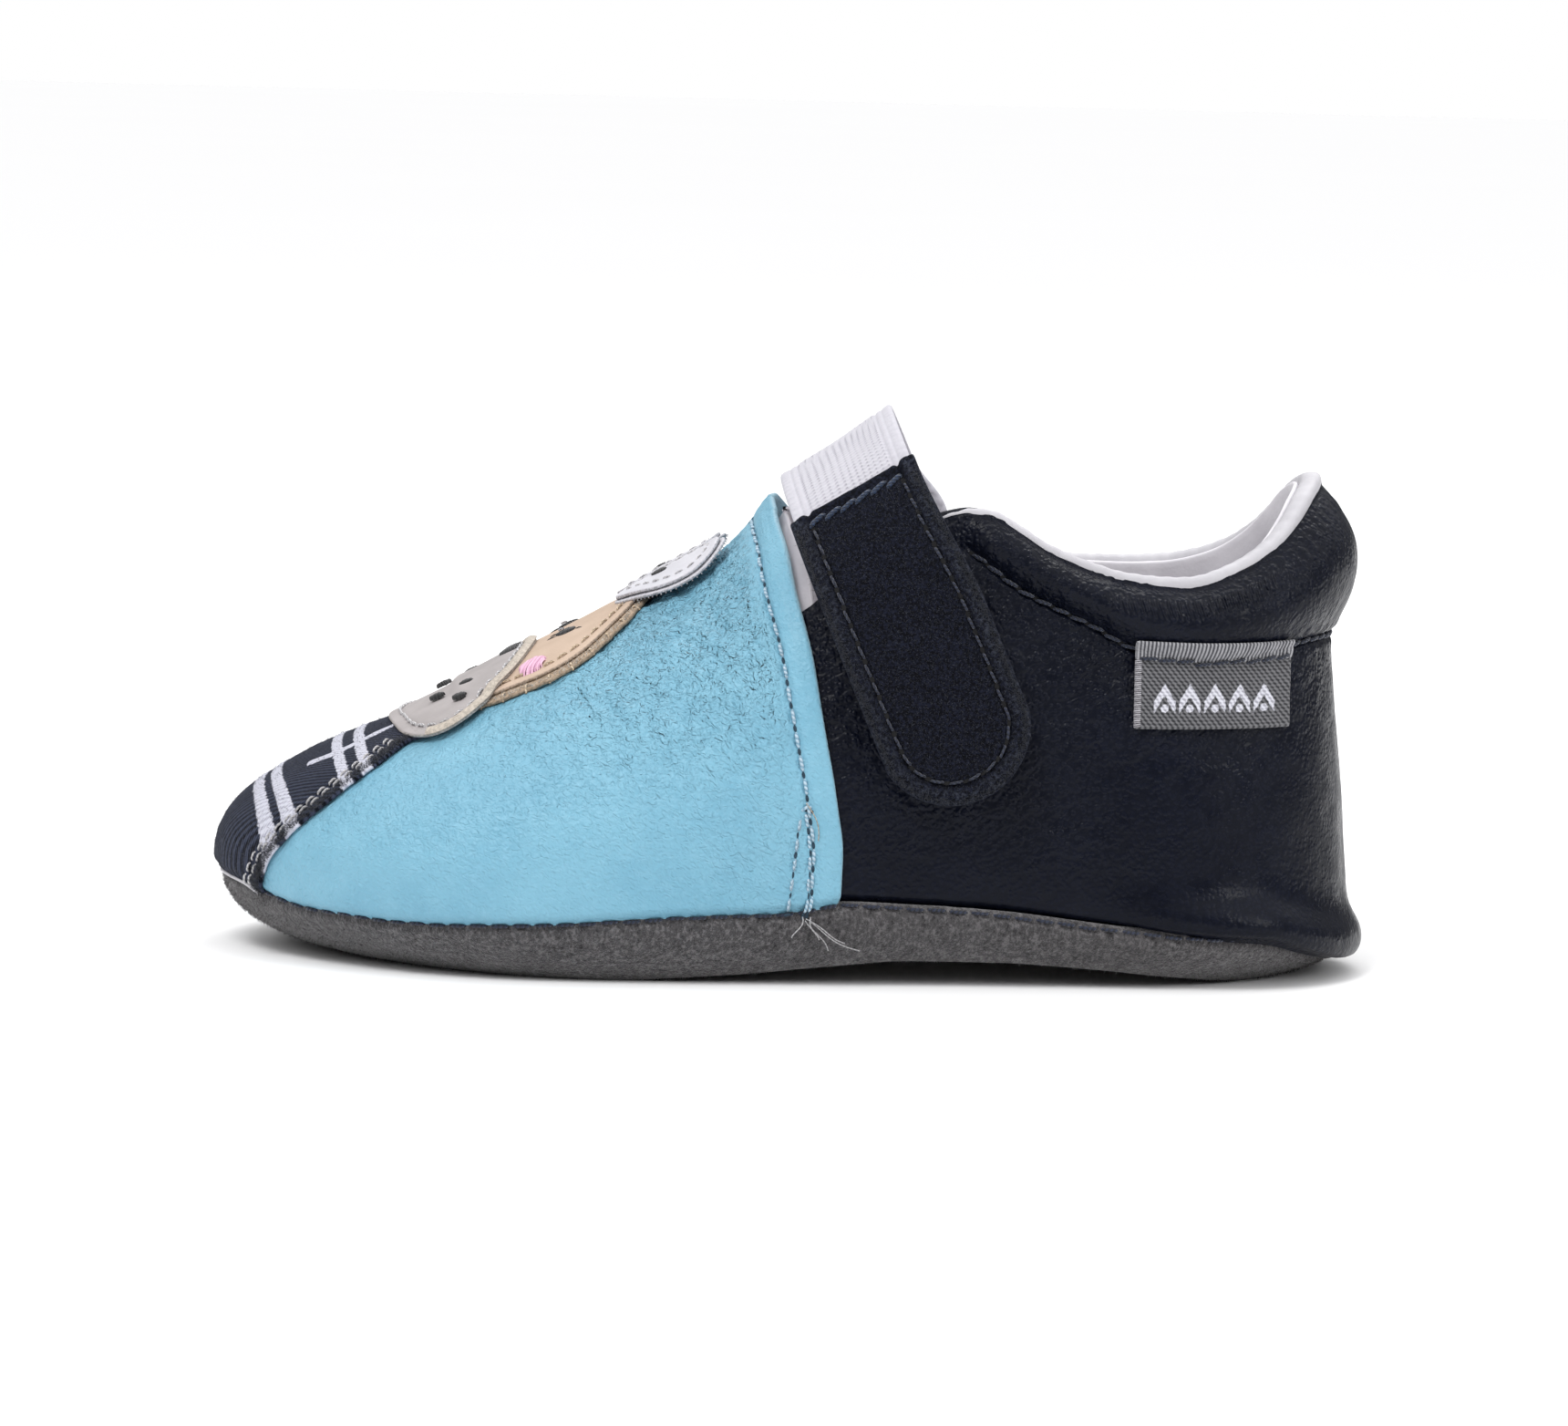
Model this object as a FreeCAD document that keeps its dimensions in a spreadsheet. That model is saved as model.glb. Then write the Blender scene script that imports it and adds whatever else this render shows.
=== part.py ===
# Soft baby bootie, left foot: suede sole, leather vamp with a sewn face, padded ankle
# collar, and an elastic instep strap that closes with hook and loop.
#
# Frame, in millimetres: X runs from the toe (-) to the heel (+), Y from the outer side
# of the foot (-) to the inner side (+), Z up, with the sole standing on Z = 0.
#
# The upper is made of thin layers that all follow one surface, the outside of the
# quarter leather.  outline(x, z) gives its half width; every layer is a sheet between
# two offsets from it, measured along its normal.
import FreeCAD, Part
import math
import os
from FreeCAD import Vector

doc = FreeCAD.newDocument("baby_bootie")

# ---------------------------------------------------------------- driving dimensions
sheet = doc.addObject("Spreadsheet::Sheet", "Sizes")
SIZES = [
    ("ToeX", -68.8, "foremost point of the upper under the vamp leather"),
    ("BulgeZ", 11.2, "height at which the upper is widest"),
    ("ShiftY", 0.6, "sideways shift that centres the bootie on the origin"),
    ("VampThick", 1.1, "vamp leather"),
    ("QuarterThick", 1.1, "quarter leather"),
    ("LiningThick", 0.7, "lining leather"),
    ("PanelThick", 0.5, "applied panels on the vamp"),
    ("SoleThick", 1.6, "suede outsole"),
    ("FoamThick", 2.4, "insole foam"),
    ("SockThick", 0.8, "sock liner"),
    ("FoamBase", 4.9, "height of the underside of the insole foam"),
    ("InsoleInset", 3.6, "insole outline in from the upper"),
    ("CollarBulge", 3.6, "how far the padded collar stands out at the heel"),
    ("BindingHigh", 1.0, "height of the turned edge above the collar leather"),
    ("StrapTilt", 23.4, "lean of the strap, degrees"),
    ("StrapAlong", 29.5, "place of the strap across its own width direction"),
    ("StrapWide", 17.4, "width of the strap tab"),
    ("ElasticWide", 16.4, "width of the elastic"),
    ("ElasticThick", 1.0, "elastic"),
    ("TabTop", 48.3, "height of the tab's sewn end, along the strap"),
    ("TabEnd", 11.8, "height of the tab's round end, along the strap"),
    ("StitchThick", 0.35, "satin stitch embroidery"),
    ("NoseLong", 3.4, "nose, along the foot"),
    ("NoseWide", 5.2, "nose, across the foot"),
    ("EyeLong", 3.6, "eye, along the foot"),
    ("EyeWide", 3.0, "eye, across the foot"),
    ("CheekLong", 3.4, "cheek, along the foot"),
    ("CheekWide", 4.4, "cheek, across the foot"),
    ("SpotSize", 1.7, "muzzle spot"),
    ("EarMarkLong", 3.2, "mark in the ear, along the foot"),
    ("EarMarkWide", 2.6, "mark in the ear, across the foot"),
    ("LabelThick", 0.7, "woven label"),
]
for row, (alias, value, note) in enumerate(SIZES, start=1):
    sheet.set("A%d" % row, note)
    sheet.set("B%d" % row, str(value))
    sheet.setAlias("B%d" % row, alias)
doc.recompute()


def cell(name):
    return float(sheet.get(name))


TOE, ZB, SHIFT = cell("ToeX"), cell("BulgeZ"), cell("ShiftY")


# ---------------------------------------------------------------- smooth tables
def spline(table):
    """Natural cubic spline through (x, y) pairs, straight beyond its ends."""
    xs = [float(a) for a, _ in table]
    ys = [float(b) for _, b in table]
    n = len(xs)
    h = [xs[i + 1] - xs[i] for i in range(n - 1)]
    al = [0.0] * n
    for i in range(1, n - 1):
        al[i] = 3 * ((ys[i + 1] - ys[i]) / h[i] - (ys[i] - ys[i - 1]) / h[i - 1])
    lo, mu, z = [1.0] * n, [0.0] * n, [0.0] * n
    for i in range(1, n - 1):
        lo[i] = 2 * (xs[i + 1] - xs[i - 1]) - h[i - 1] * mu[i - 1]
        mu[i] = h[i] / lo[i]
        z[i] = (al[i] - h[i - 1] * z[i - 1]) / lo[i]
    b, c, d = [0.0] * n, [0.0] * n, [0.0] * n
    for j in range(n - 2, -1, -1):
        c[j] = z[j] - mu[j] * c[j + 1]
        b[j] = (ys[j + 1] - ys[j]) / h[j] - h[j] * (c[j + 1] + 2 * c[j]) / 3
        d[j] = (c[j + 1] - c[j]) / (3 * h[j])

    def at(x):
        if x <= xs[0]:
            return ys[0] + b[0] * (x - xs[0])
        if x >= xs[-1]:
            k = n - 2
            slope = b[k] + 2 * c[k] * h[k] + 3 * d[k] * h[k] ** 2
            return ys[-1] + slope * (x - xs[-1])
        k = 0
        while x > xs[k + 1]:
            k += 1
        t = x - xs[k]
        return ys[k] + b[k] * t + c[k] * t * t + d[k] * t ** 3

    return at


def flat(table):
    """Monotone cubic through (x, y) pairs, level beyond its ends: no overshoot."""
    xs = [float(a) for a, _ in table]
    ys = [float(b) for _, b in table]
    n = len(xs)
    s = [(ys[i + 1] - ys[i]) / (xs[i + 1] - xs[i]) for i in range(n - 1)]
    m = [0.0] * n
    for i in range(1, n - 1):
        if s[i - 1] * s[i] > 0:
            w1 = 2 * (xs[i + 1] - xs[i]) + xs[i] - xs[i - 1]
            w2 = xs[i + 1] - xs[i] + 2 * (xs[i] - xs[i - 1])
            m[i] = (w1 + w2) / (w1 / s[i - 1] + w2 / s[i])

    def at(x):
        if x <= xs[0]:
            return ys[0]
        if x >= xs[-1]:
            return ys[-1]
        k = 0
        while x > xs[k + 1]:
            k += 1
        h = xs[k + 1] - xs[k]
        t = (x - xs[k]) / h
        return (
            ys[k] * (1 + 2 * t) * (1 - t) ** 2
            + h * m[k] * t * (1 - t) ** 2
            + ys[k + 1] * t * t * (3 - 2 * t)
            + h * m[k + 1] * t * t * (t - 1)
        )

    return at


# ---------------------------------------------------------------- the shape of the foot
half = {
    -1: spline([(-70, 25), (-60, 27.2), (-45, 30.4), (-30, 31.8), (-15, 31.2), (0, 29.3),
                (15, 27.3), (30, 25.9), (45, 25), (60, 24.4), (72, 24)]),
    1: spline([(-70, 27), (-60, 29.2), (-45, 30.6), (-30, 29.9), (-15, 27.6), (0, 25.4),
               (15, 24.4), (30, 24.4), (45, 24.6), (60, 24.4), (72, 24)]),
}
toe_round = {-1: 36.0, 1: 29.0}
HEEL_ROUND = 25.0
ridge_extra = spline([(0, 0), (2.8, .1), (5.3, -.1), (9.7, -.1), (14.1, -.25), (18.5, -.3), (22.9, -.2),
                      (27.3, .55), (31.7, 1.5), (36.1, 2.75), (40.8, 4.0), (44.8, 5.1),
                      (47.1, 5.85), (51.5, 7.4), (55.9, 9.0), (60.3, 11.0), (62.4, 12.7),
                      (64.6, 15.0), (67.7, 19.5), (72, 27.5), (78, 39), (86, 54), (99, 72),
                      (119, 86), (139, 92)])
toe_front = flat([(-1, -52), (0, -55), (1.2, -60), (2.6, -63.3), (4.2, -65.9), (6, -67.6),
                  (8, -68.5), (10, -68.77), (ZB, TOE)])
heel_back = spline([(-1, 58.5), (0, 60.5), (1.5, 64.2), (3, 66.4), (5, 67.8), (7, 68.15),
                    (11, 67.9), (17.7, 67.3), (23.3, 66.8), (31, 65.95), (37.8, 65.3),
                    (44, 64.8), (52, 64.3), (60, 63.2), (70, 61.8)])
lean_in = flat([(-12, 0), (10, .05), (22, .11), (35, .16), (50, .15), (66, .08)])
seam_z = flat([(-70, 9.8), (-68.5, 9.3), (-65, 8.7), (-62.6, 7.7), (-58, 6.8), (-52, 6.5),
               (-46, 6.4), (-37, 6.7), (-29, 7.0), (-13, 8.2), (0, 8.8), (6, 9.9), (14, 9.6),
               (25, 8.9), (36, 7.5), (47, 6.4), (56, 5.9), (61, 4.4), (65, 3.0), (70, 2.2)])
sole_lift = flat([(-64, 1.2), (-55, 0), (-24, 0), (-7, 1.0), (4, 2.2), (14, 3.1), (25, 3.0),
                  (36, 2.3), (47, 1.1), (56, 0), (70, 0)])
throat_x = spline([(5, 4.6), (8, 5.0), (10.1, 5.6), (13, 5.8), (17.2, 5.8), (20.4, 5.3),
                   (24, 4.7), (28, 3.9), (33.6, 2.8), (40, 1.5), (46, -.3), (50.8, -1.5),
                   (54, -2.3), (58, -3.2), (62, -4.0)])
top_line = {
    -1: flat([(-12, 34.5), (-8, 38), (-4, 41), (1, 43.8), (2.6, 45.1), (8, 49.5), (13, 53.3),
              (17.5, 55.7), (20, 56.1), (22.9, 55.6), (26.2, 53.9), (29.4, 51.8), (34.6, 49.6),
              (40, 48.2), (45.7, 47.8), (52.9, 49.6), (57, 51.6), (60, 54.4), (62, 56.8),
              (64, 58.3)]),
    1: flat([(-12, 33.5), (-8, 36.5), (-4, 39), (1, 42), (8, 46.0), (14, 48.6), (18, 49.3),
             (23, 49.2), (29.4, 48.2), (34.6, 47.4), (40, 47.3), (45.7, 47.6), (52.9, 49.4),
             (57, 51.6), (60, 54.4), (62, 56.8), (64, 58.3)]),
}
collar_line = flat([(14, 54.5), (17.5, 53.4), (21.3, 51.0), (26.3, 47.4), (30.7, 45.2),
                    (35.1, 43.2), (39.5, 40.9), (44, 39.8), (49.3, 39.3), (54, 39.8),
                    (59, 40.8), (62, 41.3), (66, 41.4)])
collar_size = flat([(15, 0.25), (20, .4), (30, .62), (45, .8), (58, .95), (64, 1.0)])


def ridge(x):
    u = max(x - TOE, 0.0)
    return ZB + 3.4 * math.sqrt(u) + ridge_extra(u)


def front(z):
    if z <= ZB:
        return toe_front(z)
    a, b = TOE, 70.0
    for _ in range(50):
        m = (a + b) / 2
        if ridge(m) < z:
            a = m
        else:
            b = m
    return (a + b) / 2


def cap(u):
    u = min(u, 1.0)
    return 1 - (1 - u) ** 2


def share2(x, z, side):
    """Square of the half width as a share of half[side]: 0 on the outline seen from the side."""
    if z > ZB:
        a = cap((x - TOE) / toe_round[side])
        c = (z - ZB) / max(ridge(x) - ZB, 1e-3)
        a *= 1 - c ** 2.2 if a > 0 else 1
        a *= (1 - lean_in(x) * ((z - ZB) / 45) ** 1.5) ** 2
    else:
        a = cap((x - toe_front(z)) / toe_round[side])
    return a * cap((heel_back(z) - x) / HEEL_ROUND)


def inset(z):
    return 6.0 * (max(ZB - z, 0) / ZB) ** 2.6


def width(x, z, side):
    return (half[side](x) - inset(z)) * math.sqrt(max(share2(x, z, side), 0.0))


def level(x, y, z):
    """Zero on the surface, positive outside it, smooth through the toe, heel and ridge."""
    side = -1 if y < 0 else 1
    return (y / (half[side](x) - inset(z))) ** 2 - share2(x, z, side)


def normal(x, y, z):
    e = 0.02
    g = Vector(
        level(x + e, y, z) - level(x - e, y, z),
        level(x, y + e, z) - level(x, y - e, z) if abs(y) > e else 0.0,
        level(x, y, z + e) - level(x, y, z - e),
    )
    if g.Length < 1e-12:
        g = Vector(-1, 0, 0)
    g.normalize()
    return g


def skin(x, z, side, off):
    """The point of the surface at x, z, moved off along its normal."""
    y = side * width(x, z, side)
    p = Vector(x, y, z)
    return p + normal(x, y, z) * off + Vector(0, SHIFT, 0)


# ---------------------------------------------------------------- solids from point grids
def surface(points):
    s = Part.BSplineSurface()
    s.interpolate(points)
    return s


def grid_solid(outer, inner):
    """A closed solid between two grids of points of the same size."""
    a, b = surface(outer), surface(inner)
    faces = [a.toShape(), b.toShape()]
    ua, ub = a.bounds(), b.bounds()
    for k in (0, 1):
        faces.append(Part.makeRuledSurface(a.uIso(ua[k]).toShape(), b.uIso(ub[k]).toShape()))
        faces.append(Part.makeRuledSurface(a.vIso(ua[k + 2]).toShape(), b.vIso(ub[k + 2]).toShape()))
    shell = Part.makeShell(faces)
    shell.sewShape()
    solid = Part.Solid(Part.Shell(shell.Faces))
    if solid.Volume < 0:
        solid.reverse()
    fixer = solid.copy()
    fixer.fix(1e-4, 1e-4, 1e-3)
    return fixer if fixer.isValid() and fixer.Volume > 0 else solid


def round_front(z, end_x, cols):
    """Places along one height from the outer side at end_x, round the toe, to the inner side."""
    f = front(z)
    out = []
    for i in range(cols):
        t = -1 + 2 * i / (cols - 1)
        x = f + (end_x - f) * (1 - math.cos(math.pi / 2 * abs(t)))
        out.append((x, -1 if t < 0 else 1))
    return out


def dome(off_out, off_in, end_x=9.0, low=0.0, top=58.0, rows=19, cols=37):
    """The whole front of the upper as one sheet: from the seam up, open behind."""
    grids = []
    for off in (off_out, off_in):
        grid = []
        for r in range(rows):
            v = r / (rows - 1)
            line = []
            for i in range(cols):
                z = 20.0
                for _ in range(12):
                    x, side = round_front(z, end_x, cols)[i]
                    zs = seam_z(x) + low
                    z = zs + v * (top - zs)
                x, side = round_front(z, end_x, cols)[i]
                line.append(skin(x, z, side, off))
            grid.append(line)
        grids.append(grid)
    return grid_solid(grids[0], grids[1])


def prism_xz(points, y0=-44.0, y1=44.0, slant=0.0):
    """A closed XZ outline swept across the foot; slant moves its far end along X."""
    wires = []
    for y in (y0, y1):
        pts = [Vector(x + slant * (y - SHIFT + 20), y, z) for x, z in points]
        wires.append(Part.makePolygon(pts + pts[:1]))
    return Part.makeLoft(wires, True, True)


def behind_throat(gap):
    edge = [(throat_x(z) + gap, z) for z in [-5, 5, 8, 10, 13, 17, 20, 24, 28, 33, 38, 43, 47,
                                             50, 53, 56, 59, 64]]
    return prism_xz(edge + [(60, 64), (60, -5)], slant=0.05)


def keep(name, shape):
    feature = doc.addObject("Part::Feature", name)
    feature.Label = name
    feature.Shape = shape
    return feature


def biggest(shape):
    return max(shape.Solids, key=lambda s: s.Volume)


nodes = []

# ---------------------------------------------------------------- vamp: three layers
vt, qt, lt = cell("VampThick"), cell("QuarterThick"), cell("LiningThick")
vamp_dome = dome(0.1 + vt, 0.1, low=0.5)
vamp = biggest(vamp_dome.cut(behind_throat(0)))
nodes.append(keep("vamp_outer", vamp))
mid = biggest(dome(-0.05, -0.05 - 0.95, low=0.2).cut(behind_throat(-6.4)))
nodes.append(keep("vamp_interlining", mid))
lining = biggest(dome(-1.4, -1.4 - lt, low=0.2).cut(behind_throat(-0.5)))
nodes.append(keep("vamp_lining", lining))


# ---------------------------------------------------------------- panels sewn on the vamp
def plan_prism(points, z0=0.0, z1=75.0):
    """A closed smooth outline in plan, swept straight up."""
    curve = Part.BSplineCurve()
    curve.interpolate([Vector(x, y + SHIFT, z0) for x, y in points], PeriodicFlag=True)
    face = Part.Face(Part.Wire(curve.toShape()))
    return face.extrude(Vector(0, 0, z1 - z0))


pt = cell("PanelThick")
def both_sides(points):
    """A closed outline from its half on the outer side, front to back, mirrored across y = 0."""
    return points + [(x, -y) for x, y in reversed(points) if y != 0]


HEAD = both_sides([(-42, 0), (-41.5, -6), (-40.5, -11), (-38.5, -14.2), (-36.4, -15.0),
                   (-33.5, -15.8), (-30, -16.5), (-26.6, -15.9), (-23.7, -14.4), (-21.2, -11.6),
                   (-18.6, -8.3), (-17, -4.5), (-16.4, 0)])
MUZZLE = both_sides([(-48.6, 0), (-47.3, -8.5), (-45.8, -13.2), (-43.8, -15.9), (-41.3, -17.5),
                     (-39.3, -17.2), (-37.6, -16.2), (-35.6, -14.2), (-33.6, -12.1), (-32, -8.3),
                     (-31.1, -4.2), (-30.8, 0)])
EAR = [(-20.9, -2.6), (-19.2, -5.5), (-17.4, -7.4), (-15.1, -9.2), (-12.8, -9.8), (-10.5, -9.1),
       (-8.9, -7.6), (-7.6, -5.4), (-7.6, -3), (-8.9, -1.5), (-12, -.8), (-16, -.6), (-19.6, -1.0)]


def shrunk(points, by):
    cx = sum(p[0] for p in points) / len(points)
    out = []
    for x, y in points:
        d = math.hypot(x - cx, y)
        out.append((cx + (x - cx) * (d - by) / d, y * (d - by) / d))
    return out


shirt_low = dome(1.25 + pt, 1.25, end_x=-40.0, low=0.35, top=30.5, rows=13, cols=31)
SHIRT = [(-80, -14.7), (-62.6, -14.7), (-61.4, -16.2), (-59.6, -17.4), (-57.5, -18.3),
         (-55.2, -18.6), (-52.8, -18.3), (-50.8, -17.6), (-49.6, -14.5), (-49.2, -8)]
shirt_plan = Part.Face(Part.makePolygon([
    Vector(x, y + SHIFT, -2) for x, y in
    SHIRT + [(x, -y) for x, y in reversed(SHIRT)] + SHIRT[:1]])).extrude(Vector(0, 0, 80))
nodes.append(keep("toe_shirt_panel", biggest(shirt_low.common(shirt_plan))))


def top_patch(outline, off_in, off_out, name, x0=-62.0):
    """Part of a sheet over the ridge of the vamp, cut to a smooth plan outline."""
    sheet_ = []
    for off in (off_out, off_in):
        grid = []
        for i in range(23):
            x = -53.5 + 48.5 * i / 22
            line = []
            for j in range(19):
                # across the ridge by height below it, evenly enough in width
                t = -1 + 2 * j / 18
                top = ridge(x)
                z = top - (top - ZB) * 0.66 * t * t
                line.append(skin(x, min(z, top - 1e-4), -1 if t < 0 else 1, off))
            grid.append(line)
        sheet_.append(grid)
    return grid_solid(sheet_[0], sheet_[1])


def patches(name, outlines, off_in, off_out):
    base = top_patch(None, off_in, off_out, name)
    solids = [biggest(base.common(plan_prism(o))) for o in outlines]
    shape = solids[0] if len(solids) == 1 else Part.makeCompound(solids)
    nodes.append(keep(name, shape))
    return shape


patches("face_backing", [HEAD], 1.25, 1.25 + pt)
patches("face_panel", [shrunk(HEAD, 1.3)], 1.8, 1.8 + pt)
patches("muzzle_patch", [MUZZLE], 2.35, 2.35 + pt)
patches("ear_patches", [EAR, [(x, -y) for x, y in reversed(EAR)]], 2.35, 2.35 + 0.8)


# ---------------------------------------------------------------- embroidery on the panels
def stitched(name, places, long_cell, wide_cell, off):
    """Small satin-stitched ovals: a padded ellipse each, laid flat on the panel."""
    made = []
    for k, (x, y) in enumerate(places):
        side = -1 if y < 0 else 1
        lo, hi = ZB, ridge(x) - 1e-3
        for _ in range(40):
            m = (lo + hi) / 2
            if width(x, m, side) > abs(y):
                lo = m
            else:
                hi = m
        z = (lo + hi) / 2
        n = normal(x, side * width(x, z, side), z)
        p = Vector(x, y + SHIFT, z) + n * off
        along = Vector(1, 0, 0) - n * n.x
        along.normalize()
        across = n.cross(along)
        body = doc.addObject("PartDesign::Body", "%s_%d" % (name, k + 1))
        plane = [f for f in body.Origin.OriginFeatures if f.Role == "XY_Plane"][0]
        sk = body.newObject("Sketcher::SketchObject", "%s_outline_%d" % (name, k + 1))
        sk.AttachmentSupport = [(plane, "")]
        sk.MapMode = "FlatFace"
        a, b = cell(long_cell) / 2, cell(wide_cell) / 2
        import Sketcher
        if abs(a - b) < 1e-6:
            sk.addGeometry(Part.Circle(Vector(0, 0, 0), Vector(0, 0, 1), a), False)
            sk.addConstraint(Sketcher.Constraint("Radius", 0, a))
            sk.setExpression("Constraints[0]", "Sizes.%s / 2" % long_cell)
        else:
            major = Vector(a, 0, 0) if a >= b else Vector(0, b, 0)
            minor = Vector(0, b, 0) if a >= b else Vector(-a, 0, 0)
            sk.addGeometry(Part.Ellipse(major, minor, Vector(0, 0, 0)), False)
        pad = body.newObject("PartDesign::Pad", "%s_pad_%d" % (name, k + 1))
        pad.Profile = sk
        pad.setExpression("Length", "Sizes.StitchThick")
        body.Placement = FreeCAD.Placement(p, FreeCAD.Rotation(along, across, n, "ZXY"))
        made.append(body)
    if len(made) == 1:
        made[0].Label = name
        nodes.append(made[0])
    else:
        group = doc.addObject("Part::Compound", name)
        group.Links = made
        group.Label = name
        nodes.append(group)


top_of_face = 1.8 + pt + 0.14
top_of_muzzle = 2.35 + pt + 0.14
stitched("nose", [(-33.4, 0.0)], "NoseLong", "NoseWide", top_of_muzzle + 0.12)
stitched("eyes", [(-26.9, -4.8), (-26.9, 4.8)], "EyeLong", "EyeWide", top_of_face)
stitched("cheeks", [(-30.2, -11.9), (-30.2, 11.9)], "CheekLong", "CheekWide", top_of_face)
stitched("muzzle_spots", [(-42.0, -7.1), (-39.1, -11.7), (-38.5, -7.3),
                          (-42.0, 7.1), (-39.1, 11.7), (-38.5, 7.3)], "SpotSize", "SpotSize", top_of_muzzle)
stitched("ear_marks", [(-15.2, -3.9), (-15.2, 3.9)], "EarMarkLong", "EarMarkWide", 2.35 + 0.8 + 0.14)


# ---------------------------------------------------------------- quarter, wrapped round the heel
BULGE = cell("CollarBulge")


def collar_low(x, side):
    """Stitch line under the padded collar; it drops with the top line on the inner side."""
    return collar_line(x) - (top_line[-1](x) - top_line[side](x))


def bulge(x, z, side):
    """How far the padded collar stands out."""
    zt, zs = top_line[side](x), collar_low(x, side)
    k = max(0.0, min(1.0, (zt - zs - 1.0) / 5.0)) * max(0.0, min(1.0, (x - 15) / 8))
    if k == 0.0 or z <= zs:
        return 0.0
    w = min((z - zs) / (zt - zs), 1.0)
    return BULGE * collar_size(x) * k * k * (3 - 2 * k) * math.sin(math.pi * w) ** 1.6


def rim(x, z):
    """The turned edge above the sole seam swells outwards at the heel."""
    k = max(0.0, min(1.0, (x - 34) / 26))
    d = z - seam_z(x)
    return 2.7 * k * k * (3 - 2 * k) * math.exp(-((d - 1.6) / 3.0) ** 2)


def quarter_grid(off, start, w0, w1, rows, cols, swell=1.0, rims=1.0, above=None, above2=None):
    """Grid round the heel: columns from the outer front edge, round the heel, to the inner
    front edge; rows from share w0 to share w1 of the height between seam and top line."""
    grid = []
    for r in range(rows):
        v = r / (rows - 1)
        line = []
        for i in range(cols):
            t = -1 + 2 * i / (cols - 1)
            side = -1 if t < 0 else 1
            z, x = 30.0, 30.0
            for _ in range(14):
                xe = start(z, side)
                b = heel_back(z)
                x = b - (b - xe) * (1 - math.cos(math.pi / 2 * abs(t)))
                lo = w0(x, side)
                hi = w1(x, side)
                z = 0.4 * z + 0.6 * (lo + v * (hi - lo))
            o = off(x, z, side)
            line.append(skin(x, z, side, o))
        grid.append(line)
    return grid


def front_edge(gap):
    def at(z, side):
        return throat_x(z) + gap + 0.05 * (side * 22 + 20)
    return at


def quarter_sheet(out_, in_, gap, lo=0.0, hi=0.0, rows=21, cols=45):
    args = dict(start=front_edge(gap), w0=lambda x, s: seam_z(x) + lo,
                w1=lambda x, s: top_line[s](x) + hi, rows=rows, cols=cols)
    return grid_solid(quarter_grid(out_, **args), quarter_grid(in_, **args))


quarter = quarter_sheet(lambda x, z, s: bulge(x, z, s) + rim(x, z),
                        lambda x, z, s: bulge(x, z, s) + rim(x, z) - qt, -6.0, lo=0.5, rows=27)
nodes.append(keep("quarter_outer", quarter))
qlining = quarter_sheet(lambda x, z, s: -1.5, lambda x, z, s: -1.5 - lt, 0.3, lo=0.2, hi=-0.05)
nodes.append(keep("quarter_lining", qlining))

foam_args = dict(start=lambda z, s: 24.0,
                 w0=lambda x, s: collar_low(x, s) + 0.22 * (top_line[s](x) - collar_low(x, s)),
                 w1=lambda x, s: collar_low(x, s) + 0.8 * (top_line[s](x) - collar_low(x, s)),
                 rows=9, cols=41)
foam = grid_solid(quarter_grid(lambda x, z, s: max(bulge(x, z, s) - qt - 0.35, -1.2), **foam_args),
                  quarter_grid(lambda x, z, s: -1.4, **foam_args))
nodes.append(keep("collar_foam", foam))

# turned white edge that caps the collar from the strap back round the heel
bh = cell("BindingHigh")
bind_args = dict(start=lambda z, s: 19.0, w0=lambda x, s: top_line[s](x) + 0.2,
                 w1=lambda x, s: top_line[s](x) + 0.2 + bh, rows=5, cols=45)
binding = grid_solid(quarter_grid(lambda x, z, s: -0.15, **bind_args),
                     quarter_grid(lambda x, z, s: -1.95 - 1.2 * collar_size(x) ** 2, **bind_args))
nodes.append(keep("collar_binding", binding))


# ---------------------------------------------------------------- sole
def level_outline(z, off, n=72):
    """Closed plan outline of the surface at one height, moved off in plan."""
    f, b = toe_front(z), heel_back(z)
    pts = []
    for i in range(n):
        a = 2 * math.pi * i / n
        side = -1 if math.sin(a) < 0 else 1
        x = (f + b) / 2 - (b - f) / 2 * math.cos(a)
        y = side * width(x, z, side)
        nx, ny = (level(x + .02, y, z) - level(x - .02, y, z)), 0.0
        if abs(y) > .02:
            ny = level(x, y + .02, z) - level(x, y - .02, z)
        d = math.hypot(nx, ny) or 1.0
        pts.append(Vector(x + off * nx / d, y + SHIFT + off * ny / d, z))
    return pts


def bowl(off, heights):
    wires = []
    for z in heights:
        c = Part.BSplineCurve()
        c.interpolate(level_outline(z, off), PeriodicFlag=True)
        wires.append(Part.Wire(c.toShape()))
    return Part.makeLoft(wires, True, False)


def between(low, high, name=None):
    """A slab that follows the sole's curve: between two heights as functions of x."""
    xs = [-80, -64, -60, -55]
    xs += [-24, -18, -12, -7, -2, 4, 9, 14, 20, 25, 31, 36, 42, 47, 52, 56, 80]
    pts = [(x, low(x)) for x in xs] + [(x, high(x)) for x in reversed(
        [-80, -70, -66, -62, -59, -56, -50, -45, -37, -29, -21, -13, -6, 0, 6, 14, 20, 25, 31, 36,
         41, 47, 52, 56, 59, 61, 63, 65, 67, 70, 80])]
    return prism_xz(pts)


st = cell("SoleThick")
HEIGHTS = [0.0, 0.7, 1.6, 2.8, 4.4, 6.4, 8.6, 10.6]
outer_bowl = bowl(0.9, HEIGHTS)
inner_bowl = bowl(0.9 - st, [h for h in HEIGHTS])
sole = outer_bowl.common(between(lambda x: sole_lift(x), lambda x: seam_z(x) - 0.3))
hollow = inner_bowl.common(between(lambda x: sole_lift(x) + st, lambda x: 30.0))
sole = biggest(sole.cut(hollow))
nodes.append(keep("outsole", sole))


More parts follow.
